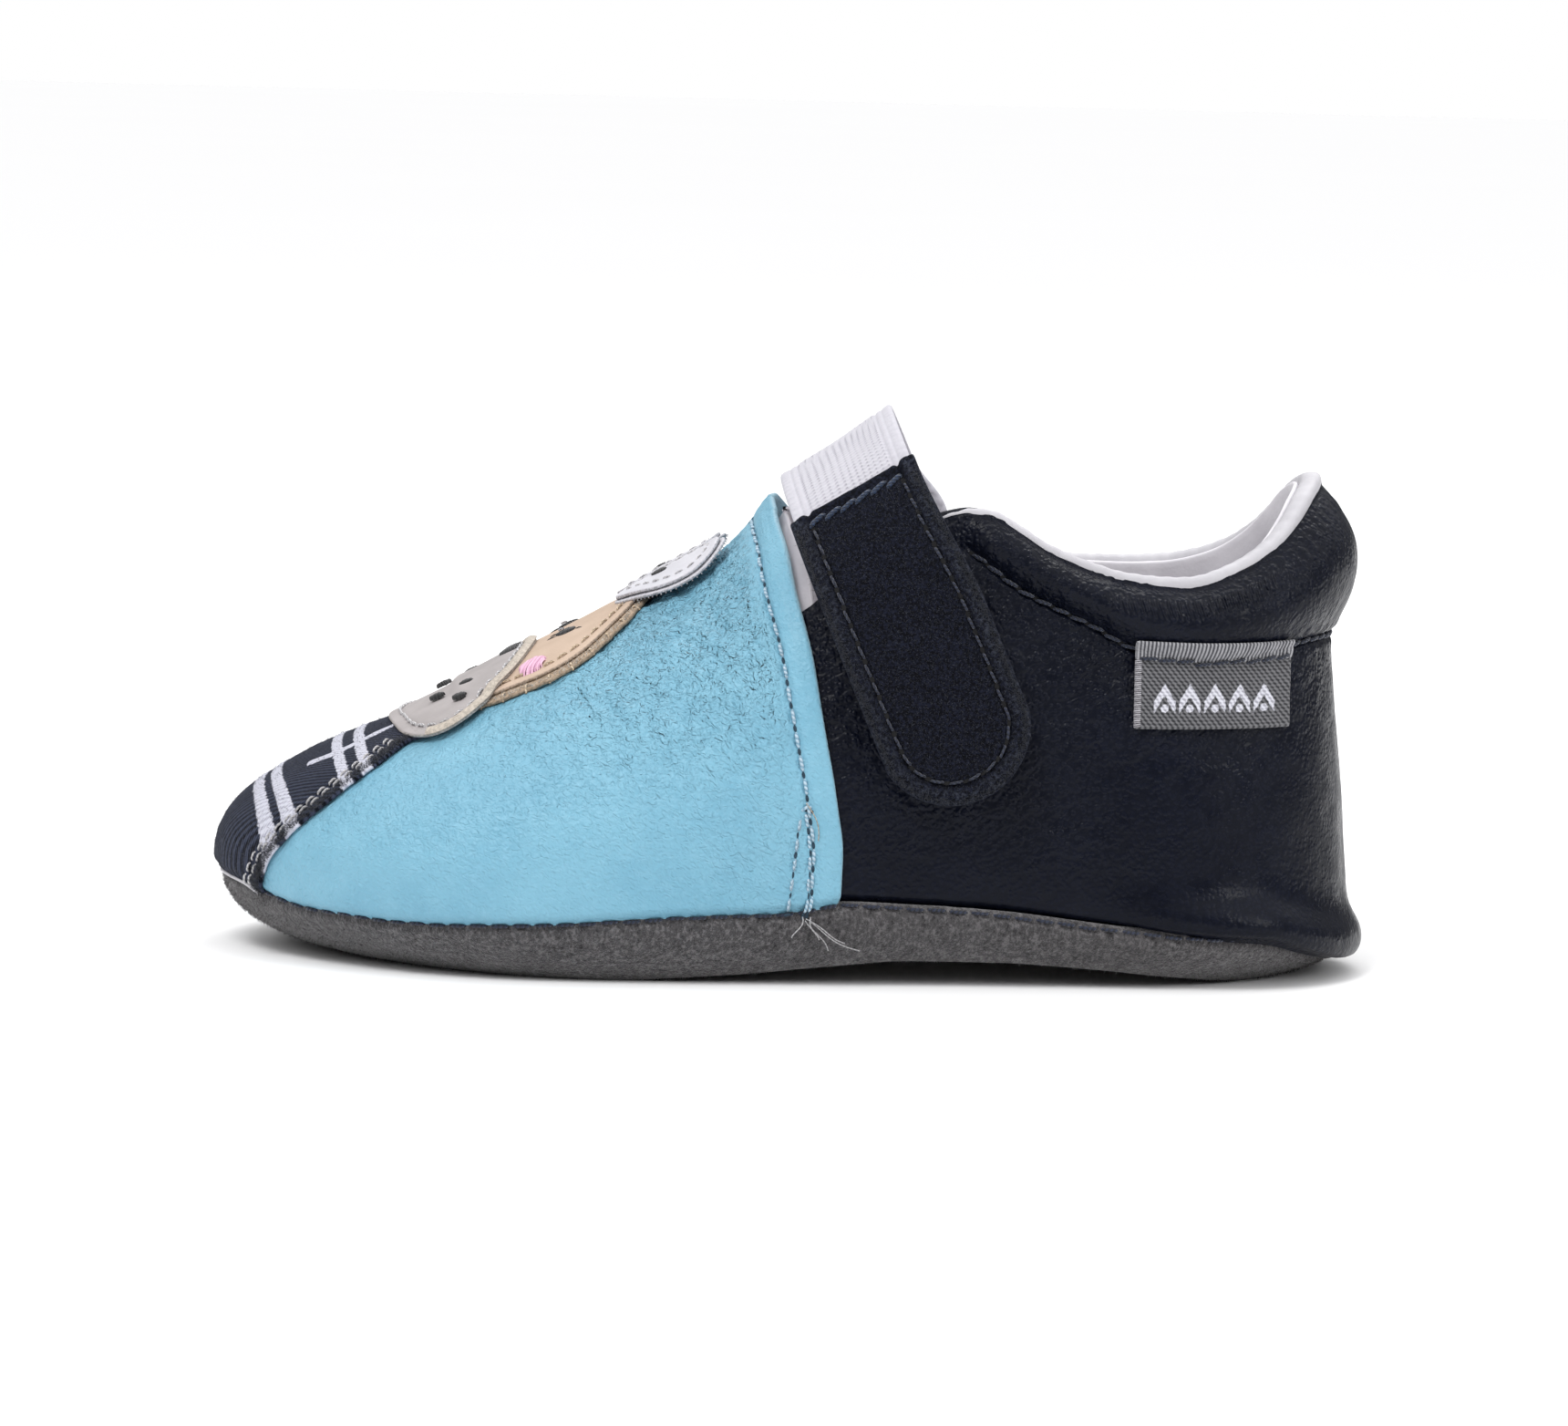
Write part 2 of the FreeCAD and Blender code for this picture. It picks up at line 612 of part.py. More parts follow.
# ---------------------------------------------------------------- insole foam and sock liner
def padded_outline(name, height_cell, base_expr, base_value, inset_by, thick_cell):
    body = doc.addObject("PartDesign::Body", name)
    body.Label = name
    plane = [f for f in body.Origin.OriginFeatures if f.Role == "XY_Plane"][0]
    sk = body.newObject("Sketcher::SketchObject", name + "_outline")
    sk.AttachmentSupport = [(plane, "")]
    sk.MapMode = "FlatFace"
    pts = [Vector(p.x, p.y, 0) for p in level_outline(6.0, -inset_by, n=40)]
    curve = Part.BSplineCurve()
    curve.interpolate(pts, PeriodicFlag=True)
    sk.addGeometry(curve, False)
    pad = body.newObject("PartDesign::Pad", name + "_pad")
    pad.Profile = sk
    pad.setExpression("Length", "Sizes." + thick_cell)
    body.setExpression("Placement.Base.z", base_expr)
    nodes.append(body)
    return body


padded_outline("insole_foam", "FoamBase", "Sizes.FoamBase", cell("FoamBase"),
               cell("InsoleInset"), "FoamThick")
padded_outline("sock_liner", "FoamBase", "Sizes.FoamBase + Sizes.FoamThick + 0.05", 0,
               cell("InsoleInset"), "SockThick")

# ---------------------------------------------------------------- strap
TILT = math.radians(cell("StrapTilt"))
E1 = Vector(math.cos(TILT), 0, math.sin(TILT))      # across the strap
E3 = Vector(-math.sin(TILT), 0, math.cos(TILT))     # up the strap
ALONG = cell("StrapAlong")


def strap_xz(a, h):
    """Side-view place of a point a across the strap's width and h up it."""
    p = E1 * (ALONG + a) + E3 * h
    return p.x, p.z


APEX = 53.5        # height of the arch's base line at its top
LAT_LEAVE = 37.0   # where the strap leaves the outer quarter
MED_END = 41.6     # hinge height on the inner side


def bezier(p0, p1, p2, p3, n):
    out = []
    for i in range(n + 1):
        t = i / n
        s = 1 - t
        out.append((s ** 3 * p0[0] + 3 * s * s * t * p1[0] + 3 * s * t * t * p2[0] + t ** 3 * p3[0],
                    s ** 3 * p0[1] + 3 * s * s * t * p1[1] + 3 * s * t * t * p2[1] + t ** 3 * p3[1]))
    return out


def strap_line(a):
    """Base line of the strap at a across its width, as (y, h) pairs from the round end on the
    outer side, up, over the instep and down to the inner side."""
    low = []
    h = cell("TabEnd") - 4.0
    while h < LAT_LEAVE - 0.01:
        x, z = strap_xz(a, h)
        low.append((-width(x, z, -1), h))
        h += 1.0
    x, z = strap_xz(a, LAT_LEAVE)
    p0 = (-width(x, z, -1), LAT_LEAVE)
    dy = (p0[0] - low[-2][0]) / (LAT_LEAVE - low[-2][1])
    apex = (0.5, APEX)
    mid_y = inner_y(a)
    p3 = (mid_y, MED_END)
    over = bezier(p0, (p0[0] + dy * 9.5, LAT_LEAVE + 10.5), (-13.5, APEX), apex, 22)
    down = bezier(apex, (13.0, APEX), (mid_y - 0.4, MED_END + 7.5), p3, 18)
    return low + over + down[1:]


def inner_y(a):
    x, z = strap_xz(a * 0.3, MED_END - 1.2)
    return width(x, z, 1) - 4.1


def strap_length(line):
    s = [0.0]
    for p, q in zip(line, line[1:]):
        s.append(s[-1] + math.hypot(q[0] - p[0], q[1] - p[1]))
    return s


def at_height(line, h):
    """Length along the line, on the outer side, at which it first reaches height h."""
    s = strap_length(line)
    for i in range(len(line) - 1):
        if line[i][1] <= h < line[i + 1][1]:
            k = (h - line[i][1]) / (line[i + 1][1] - line[i][1])
            return s[i] + k * (s[i + 1] - s[i])
    return s[-1]


def strap_point(a, s_at, off):
    line = strap_line(a)
    s = strap_length(line)
    s_at = max(0.0, min(s[-1] - 1e-6, s_at))
    i = 0
    while s[i + 1] < s_at:
        i += 1
    k = (s_at - s[i]) / (s[i + 1] - s[i])

    def tangent(j):
        j0, j1 = max(j - 1, 0), min(j + 1, len(line) - 1)
        t = (line[j1][0] - line[j0][0], line[j1][1] - line[j0][1])
        d = math.hypot(*t)
        return t[0] / d, t[1] / d

    ta, tb = tangent(i), tangent(i + 1)
    t = (ta[0] * (1 - k) + tb[0] * k, ta[1] * (1 - k) + tb[1] * k)
    d = math.hypot(*t)
    t = (t[0] / d, t[1] / d)
    y = line[i][0] + k * (line[i + 1][0] - line[i][0]) - t[1] * off
    h = line[i][1] + k * (line[i + 1][1] - line[i][1]) + t[0] * off
    p = E1 * (ALONG + a) + E3 * h
    return Vector(p.x, y + SHIFT, p.z)


def strap_sheet(half_wide, s_low, s_high, off_in, off_out, across=7, rows=24):
    """A sheet of the strap; s_low(a) and s_high(a) are lengths along its base line."""
    grids = []
    for off in (off_out, off_in):
        grid = []
        for i in range(rows):
            v = i / (rows - 1)
            line = []
            for j in range(across):
                a = half_wide * (-1 + 2 * j / (across - 1))
                lo, hi = s_low(a), s_high(a)
                line.append(strap_point(a, lo + v * (hi - lo), off))
            grid.append(line)
        grids.append(grid)
    return grid_solid(grids[0], grids[1])


wide = cell("StrapWide") / 2


def round_end(a, r, h_end):
    """Length at which a tab of half width r with a round end starts, at a across it."""
    drop = r - math.sqrt(max((r * 1.03) ** 2 - a * a, 0.0))
    return at_height(strap_line(a), h_end + drop)


def tab_top(a):
    return at_height(strap_line(a), cell("TabTop"))



def tab_sheet(r, h_end, off_in, off_out, top=tab_top):
    return strap_sheet(r, lambda a: round_end(a, r, h_end), top, off_in, off_out,
                       across=15, rows=26)


nodes.append(keep("strap_outer", tab_sheet(wide, cell("TabEnd"), 2.85, 3.85)))
nodes.append(keep("strap_backing", tab_sheet(wide - 0.3, cell("TabEnd") + 0.3, 2.0, 2.8)))
hook = tab_sheet(wide - 1.6, cell("TabEnd") + 1.7, 1.2, 1.95,
                 top=lambda a: at_height(strap_line(a), 35.0))
nodes.append(keep("hook_patch", hook))
loop = strap_sheet(wide - 2.2, lambda a: at_height(strap_line(a), 16.0),
                   lambda a: at_height(strap_line(a), 36.4), 0.08, 0.85, across=7, rows=14)
nodes.append(keep("loop_patch", loop))

ew, et = cell("ElasticWide") / 2, cell("ElasticThick")
elastic = strap_sheet(ew, lambda a: tab_top(a) + 0.35, lambda a: strap_length(strap_line(a))[-1] - 0.2,
                      1.7, 1.7 + et, across=7, rows=34)
nodes.append(keep("elastic_band", elastic))


# the sewn end of the elastic, against the lining on the inner side
def anchor_grid(off):
    grid = []
    for i in range(8):
        h = MED_END - 1.7 - 7.5 * i / 7
        line = []
        for j in range(7):
            a = ew * (-1 + j / 3)
            x, z = strap_xz(a, h)
            line.append(skin(x, z, 1, off))
        grid.append(line)
    return grid


nodes.append(keep("elastic_anchor", grid_solid(anchor_grid(-2.4), anchor_grid(-3.2))))

# ---------------------------------------------------------------- woven label below the collar
LABEL_X = (40.4, 58.4)


def label_grid(z0, z1, off, rows=7, cols=15):
    grid = []
    for i in range(rows):
        line = []
        for j in range(cols):
            x = LABEL_X[0] + (LABEL_X[1] - LABEL_X[0]) * j / (cols - 1)
            z = z0 + (z1 - z0) * i / (rows - 1)
            line.append(skin(x, z, -1, off))
        grid.append(line)
    return grid


lth = cell("LabelThick")
flap = grid_solid(label_grid(30.4, 37.2, 0.25 + lth), label_grid(30.4, 37.2, 0.25))
nodes.append(keep("label_flap", flap))
hem = grid_solid(label_grid(38.2, 39.3, 0.3 + lth, rows=4), label_grid(38.2, 39.3, 0.3, rows=4))
nodes.append(keep("label_hem", hem))

# ---------------------------------------------------------------- checks and files
doc.recompute()
os.makedirs("parts", exist_ok=True)
for old in os.listdir("parts"):
    if old.endswith(".step"):
        os.remove(os.path.join("parts", old))
bad = []
for o in doc.Objects:
    if "Invalid" in o.State or "Error" in o.State:
        bad.append("%s is %s" % (o.Name, o.State))
lo, hi = [1e9] * 3, [-1e9] * 3
for o in nodes:
    s = o.Shape
    if s.isNull() or not s.isValid() or s.Volume <= 0 or not s.Solids:
        bad.append("%s: null %s valid %s volume %s" % (
            o.Label, s.isNull(), (not s.isNull()) and s.isValid(), 0 if s.isNull() else s.Volume))
        continue
    b = s.BoundBox
    lo = [min(lo[0], b.XMin), min(lo[1], b.YMin), min(lo[2], b.ZMin)]
    hi = [max(hi[0], b.XMax), max(hi[1], b.YMax), max(hi[2], b.ZMax)]
    print("%-18s solids %2d  volume %9.1f  x %6.1f %6.1f  y %6.1f %6.1f  z %6.1f %6.1f" % (
        o.Label, len(s.Solids), s.Volume, b.XMin, b.XMax, b.YMin, b.YMax, b.ZMin, b.ZMax))
print("box", [round(v, 2) for v in lo], [round(v, 2) for v in hi])
tab_hinge = strap_point(0, tab_top(0) + 0.1, 3.85)
band_hinge = strap_point(0, strap_length(strap_line(0))[-1] - 0.2, 2.7)
ends = [skin(x, 37.35, -1, 0) for x in LABEL_X]
middle = skin(sum(LABEL_X) / 2, 37.35, -1, 0)
print("tab hinge", tab_hinge, "band hinge", band_hinge, "across", E1)
print("label ends", ends, "middle", middle)
if bad:
    raise RuntimeError("; ".join(bad))
for o in nodes:
    o.Shape.exportStep("parts/%s.step" % o.Label)
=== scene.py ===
# Baby bootie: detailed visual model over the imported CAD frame.
import math

import bpy
import numpy as np
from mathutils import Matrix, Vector


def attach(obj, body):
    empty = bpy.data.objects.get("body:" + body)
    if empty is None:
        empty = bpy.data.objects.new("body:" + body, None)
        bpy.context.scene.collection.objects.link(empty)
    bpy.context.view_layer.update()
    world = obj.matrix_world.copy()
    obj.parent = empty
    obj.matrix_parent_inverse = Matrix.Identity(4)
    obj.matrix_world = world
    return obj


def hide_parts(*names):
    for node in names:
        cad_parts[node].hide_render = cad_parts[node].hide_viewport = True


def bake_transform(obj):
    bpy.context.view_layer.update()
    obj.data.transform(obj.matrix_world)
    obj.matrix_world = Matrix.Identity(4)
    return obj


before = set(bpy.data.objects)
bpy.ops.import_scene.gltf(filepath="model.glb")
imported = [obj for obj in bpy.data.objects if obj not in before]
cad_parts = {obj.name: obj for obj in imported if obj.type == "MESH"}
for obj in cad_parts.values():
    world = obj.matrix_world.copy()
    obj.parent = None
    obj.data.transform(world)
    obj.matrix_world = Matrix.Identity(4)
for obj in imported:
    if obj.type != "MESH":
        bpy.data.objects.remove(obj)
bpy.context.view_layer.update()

MM = 0.001
rng = np.random.default_rng(7)

# =====================================================================================
# The surface of the upper: the outside of the quarter leather, as in the CAD (mm).
# =====================================================================================
TOE, ZB, SH, HEEL = -68.8, 11.2, 0.6, 25.0


def spline(tb):
    xs = np.array([a for a, _ in tb], float)
    ys = np.array([b for _, b in tb], float)
    n = len(xs)
    h = np.diff(xs)
    A = np.zeros((n, n))
    r = np.zeros(n)
    A[0, 0] = A[-1, -1] = 1
    for i in range(1, n - 1):
        A[i, i - 1], A[i, i], A[i, i + 1] = h[i - 1], 2 * (h[i - 1] + h[i]), h[i]
        r[i] = 3 * ((ys[i + 1] - ys[i]) / h[i] - (ys[i] - ys[i - 1]) / h[i - 1])
    c = np.linalg.solve(A, r)
    b = np.diff(ys) / h - h * (c[1:] + 2 * c[:-1]) / 3
    d = np.diff(c) / (3 * h)
    last = b[-1] + 2 * c[-2] * h[-1] + 3 * d[-1] * h[-1] ** 2

    def at(x):
        x = np.asarray(x, float)
        k = np.clip(np.searchsorted(xs, x, side="right") - 1, 0, n - 2)
        t = x - xs[k]
        v = ys[k] + b[k] * t + c[k] * t * t + d[k] * t ** 3
        v = np.where(x < xs[0], ys[0] + b[0] * (x - xs[0]), v)
        return np.where(x > xs[-1], ys[-1] + last * (x - xs[-1]), v)

    return at


def flat(tb):
    xs = np.array([a for a, _ in tb], float)
    ys = np.array([b for _, b in tb], float)
    n = len(xs)
    s = np.diff(ys) / np.diff(xs)
    m = np.zeros(n)
    for i in range(1, n - 1):
        if s[i - 1] * s[i] > 0:
            w1 = 2 * (xs[i + 1] - xs[i]) + xs[i] - xs[i - 1]
            w2 = xs[i + 1] - xs[i] + 2 * (xs[i] - xs[i - 1])
            m[i] = (w1 + w2) / (w1 / s[i - 1] + w2 / s[i])

    def at(x):
        x = np.clip(np.asarray(x, float), xs[0], xs[-1])
        k = np.clip(np.searchsorted(xs, x, side="right") - 1, 0, n - 2)
        h = xs[k + 1] - xs[k]
        t = (x - xs[k]) / h
        return (ys[k] * (1 + 2 * t) * (1 - t) ** 2 + h * m[k] * t * (1 - t) ** 2
                + ys[k + 1] * t * t * (3 - 2 * t) + h * m[k + 1] * t * t * (t - 1))

    return at


HALF_L = spline([(-70, 25), (-60, 27.2), (-45, 30.4), (-30, 31.8), (-15, 31.2), (0, 29.3),
                 (15, 27.3), (30, 25.9), (45, 25), (60, 24.4), (72, 24)])
HALF_M = spline([(-70, 27), (-60, 29.2), (-45, 30.6), (-30, 29.9), (-15, 27.6), (0, 25.4),
                 (15, 24.4), (30, 24.4), (45, 24.6), (60, 24.4), (72, 24)])
ridge_extra = spline([(0, 0), (2.8, .1), (5.3, -.1), (9.7, -.1), (14.1, -.25), (18.5, -.3),
                      (22.9, -.2), (27.3, .55), (31.7, 1.5), (36.1, 2.75), (40.8, 4.0),
                      (44.8, 5.1), (47.1, 5.85), (51.5, 7.4), (55.9, 9.0), (60.3, 11.0),
                      (62.4, 12.7), (64.6, 15.0), (67.7, 19.5), (72, 27.5), (78, 39), (86, 54),
                      (99, 72), (119, 86), (139, 92)])
toe_front = flat([(-1, -52), (0, -55), (1.2, -60), (2.6, -63.3), (4.2, -65.9), (6, -67.6),
                  (8, -68.5), (10, -68.77), (ZB, TOE)])
heel_back = spline([(-1, 58.5), (0, 60.5), (1.5, 64.2), (3, 66.4), (5, 67.8), (7, 68.15),
                    (11, 67.9), (17.7, 67.3), (23.3, 66.8), (31, 65.95), (37.8, 65.3),
                    (44, 64.8), (52, 64.3), (60, 63.2), (70, 61.8)])
lean_in = flat([(-12, 0), (10, .05), (22, .11), (35, .16), (50, .15), (66, .08)])
seam_z = flat([(-70, 9.8), (-68.5, 9.3), (-65, 8.7), (-62.6, 7.7), (-58, 6.8), (-52, 6.5),
               (-46, 6.4), (-37, 6.7), (-29, 7.0), (-13, 8.2), (0, 8.8), (6, 9.9), (14, 9.6),
               (25, 8.9), (36, 7.5), (47, 6.4), (56, 5.9), (61, 4.4), (65, 3.0), (70, 2.2)])
sole_lift = flat([(-64, 1.2), (-55, 0), (-24, 0), (-7, 1.0), (4, 2.2), (14, 3.1), (25, 3.0),
                  (36, 2.3), (47, 1.1), (56, 0), (70, 0)])
throat_x = spline([(5, 4.6), (8, 5.0), (10.1, 5.6), (13, 5.8), (17.2, 5.8), (20.4, 5.3),
                   (24, 4.7), (28, 3.9), (33.6, 2.8), (40, 1.5), (46, -.3), (50.8, -1.5),
                   (54, -2.3), (58, -3.2), (62, -4.0)])
top_l = flat([(-12, 34.5), (-8, 38), (-4, 41), (1, 43.8), (2.6, 45.1), (8, 49.5), (13, 53.3),
              (17.5, 55.7), (20, 56.1), (22.9, 55.6), (26.2, 53.9), (29.4, 51.8), (34.6, 49.6),
              (40, 48.2), (45.7, 47.8), (52.9, 49.6), (57, 51.6), (60, 54.4), (62, 56.8),
              (64, 58.3)])
top_m = flat([(-12, 33.5), (-8, 36.5), (-4, 39), (1, 42), (8, 46.0), (14, 48.6), (18, 49.3),
              (23, 49.2), (29.4, 48.2), (34.6, 47.4), (40, 47.3), (45.7, 47.6), (52.9, 49.4),
              (57, 51.6), (60, 54.4), (62, 56.8), (64, 58.3)])
collar_line = flat([(14, 54.5), (17.5, 53.4), (21.3, 51.0), (26.3, 47.4), (30.7, 45.2),
                    (35.1, 43.2), (39.5, 40.9), (44, 39.8), (49.3, 39.3), (54, 39.8),
                    (59, 40.8), (62, 41.3), (66, 41.4)])
collar_size = flat([(15, 0.25), (20, .4), (30, .62), (45, .8), (58, .95), (64, 1.0)])


def ridge(x):
    u = np.maximum(np.asarray(x, float) - TOE, 0)
    return ZB + 3.4 * np.sqrt(u) + ridge_extra(u)


_rx = np.concatenate([TOE + np.linspace(0, 1, 400) ** 2 * 4, np.linspace(TOE + 4.01, 75, 4000)])
_rz = np.maximum.accumulate(ridge(_rx))


def front(z):
    z = np.asarray(z, float)
    return np.where(z <= ZB, toe_front(z), np.interp(z, _rz, _rx))


def cap(u):
    u = np.minimum(u, 1.0)
    return 1 - (1 - u) ** 2


def pick(side, left, right):
    return np.where(np.asarray(side) < 0, left, right)


def share2(x, z, side):
    x, z = np.asarray(x, float), np.asarray(z, float)
    rnd = pick(side, 36.0, 29.0)
    a = cap((x - TOE) / rnd)
    c = (z - ZB) / np.maximum(ridge(x) - ZB, 1e-3)
    c = np.sign(c) * np.abs(c) ** 2.2
    a1 = a * np.where(a > 0, 1 - c, 1) * (1 - lean_in(x) * (np.maximum(z - ZB, 0) / 45) ** 1.5) ** 2
    a2 = cap((x - toe_front(z)) / rnd)
    return np.where(z > ZB, a1, a2) * cap((heel_back(z) - x) / HEEL)


def inset(z):
    return 6.0 * (np.maximum(ZB - z, 0) / ZB) ** 2.6


def half(x, z, side):
    return pick(side, HALF_L(x), HALF_M(x)) - inset(z)


def width(x, z, side):
    return half(x, z, side) * np.sqrt(np.maximum(share2(x, z, side), 0))


def level(x, y, z):
    side = np.where(y < 0, -1, 1)
    return (y / half(x, z, side)) ** 2 - share2(x, z, side)


def normal(x, y, z):
    e = 0.02
    gx = level(x + e, y, z) - level(x - e, y, z)
    gy = np.where(np.abs(y) > e, level(x, y + e, z) - level(x, y - e, z), 0.0)
    gz = level(x, y, z + e) - level(x, y, z - e)
    n = np.stack([gx, gy, gz], -1)
    d = np.linalg.norm(n, axis=-1, keepdims=True)
    n = np.where(d > 1e-12, n / np.maximum(d, 1e-12), np.array([-1.0, 0, 0]))
    return n


def skin(x, z, side, off=0.0):
    """Points off the surface at x, z on one side, and their normals."""
    x, z, side = np.broadcast_arrays(np.asarray(x, float), np.asarray(z, float), np.asarray(side, float))
    y = side * width(x, z, side)
    n = normal(x, y, z)
    p = np.stack([x, y + SH, z], -1) + n * np.asarray(off, float)[..., None]
    return p, n


def smooth(a, b, x):
    t = np.clip((np.asarray(x, float) - a) / (b - a), 0, 1)
    return t * t * (3 - 2 * t)


def on_top(x, y):
    """Height of the surface over the plan point x, y of the vamp."""
    x, y = np.broadcast_arrays(np.asarray(x, float), np.asarray(y, float))
    side = np.where(y < 0, -1, 1)
    lo = np.full(x.shape, ZB)
    hi = ridge(x) - 1e-4
    for _ in range(40):
        m = (lo + hi) / 2
        wide = width(x, m, side) > np.abs(y)
        lo = np.where(wide, m, lo)
        hi = np.where(wide, hi, m)
    return (lo + hi) / 2


def top_point(x, y, off=0.0):
    z = on_top(x, y)
    side = np.where(np.asarray(y) < 0, -1, 1)
    yy = side * width(x, z, side)
    n = normal(np.asarray(x, float), yy, z)
    p = np.stack([np.asarray(x, float), np.asarray(y, float) + SH, z], -1)
    return p + n * np.asarray(off, float)[..., None], n


# =====================================================================================
# Noise, in millimetre space
# =====================================================================================
def _hash(ix, iy, iz, seed):
    h = (ix.astype(np.int64) * 374761393 + iy.astype(np.int64) * 668265263
         + iz.astype(np.int64) * 1274126177 + seed * 974634777) & 0xFFFFFFFF
    h = ((h ^ (h >> 13)) * 1103515245) & 0xFFFFFFFF
    h = ((h ^ (h >> 16)) * 12345 + (h >> 3)) & 0xFFFFFFFF
    return (h & 0xFFFFFF) / float(0xFFFFFF) * 2 - 1


def noise(p, size=1.0, seed=0):
    """Smooth value noise from -1 to 1; size is the width of one cell, a number or one per axis."""
    q = np.asarray(p, float) / size
    i = np.floor(q)
    f = q - i
    u = f * f * f * (f * (f * 6 - 15) + 10)
    out = 0
    for dx in (0, 1):
        for dy in (0, 1):
            for dz in (0, 1):
                w = ((u[..., 0] if dx else 1 - u[..., 0]) * (u[..., 1] if dy else 1 - u[..., 1])
                     * (u[..., 2] if dz else 1 - u[..., 2]))
                out = out + w * _hash(i[..., 0] + dx, i[..., 1] + dy, i[..., 2] + dz, seed)
    return out


def fractal(p, size, seed=0, octaves=3):
    v, a, total = 0, 1.0, 0.0
    for k in range(octaves):
        v = v + a * noise(p, np.asarray(size, float) / 2 ** k, seed + 17 * k)
        total += a
        a *= 0.5
    return v / total


def creases(p, size, seed=0, warp=0.8, sharp=3.0):
    """Thin valleys with soft ridges between them, from -1 in a valley to 0."""
    s = float(np.mean(size))
    w = np.stack([noise(p, s * 2, seed + 5), noise(p, s * 2, seed + 6), noise(p, s * 2, seed + 7)], -1)
    n = noise(np.asarray(p) + w * s * warp, size, seed)
    return -np.exp(-(np.abs(n) * sharp) ** 2 * 1.4)


# =====================================================================================
# Mesh building
# =====================================================================================
def make(name, verts, faces, body, uv=None, attrs=None, material=None, smooth_=True):
    """faces: list of integer arrays, each (n, 3) or (n, 4). verts in millimetres."""
    me = bpy.data.meshes.new(name)
    verts = np.array(verts, float)
    if body:
        verts[:, 2] = np.maximum(verts[:, 2], .02)
    me.vertices.add(len(verts))
    me.vertices.foreach_set("co", (verts * MM).astype(np.float32).ravel())
    loops = np.concatenate([f.ravel() for f in faces]).astype(np.int32)
    sizes = np.concatenate([np.full(len(f), f.shape[1]) for f in faces])
    starts = np.concatenate([[0], np.cumsum(sizes)[:-1]]).astype(np.int32)
    me.loops.add(len(loops))
    me.loops.foreach_set("vertex_index", loops)
    me.polygons.add(len(sizes))
    me.polygons.foreach_set("loop_start", starts)
    me.polygons.foreach_set("use_smooth", np.full(len(sizes), smooth_))
    if uv is not None:
        layer = me.uv_layers.new(name="UVMap")
        layer.data.foreach_set("uv", np.asarray(uv, np.float32)[loops].ravel())
    for key, val in (attrs or {}).items():
        a = me.attributes.new(key, "FLOAT", "POINT")
        a.data.foreach_set("value", np.asarray(val, np.float32).ravel())
    me.update(calc_edges=True)
    me.validate()
    o = bpy.data.objects.new(name, me)
    bpy.context.scene.collection.objects.link(o)
    if material is not None:
        me.materials.append(material)
    if body:
        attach(o, body)
    return o


def unit(v):
    return v / np.maximum(np.linalg.norm(v, axis=-1, keepdims=True), 1e-9)


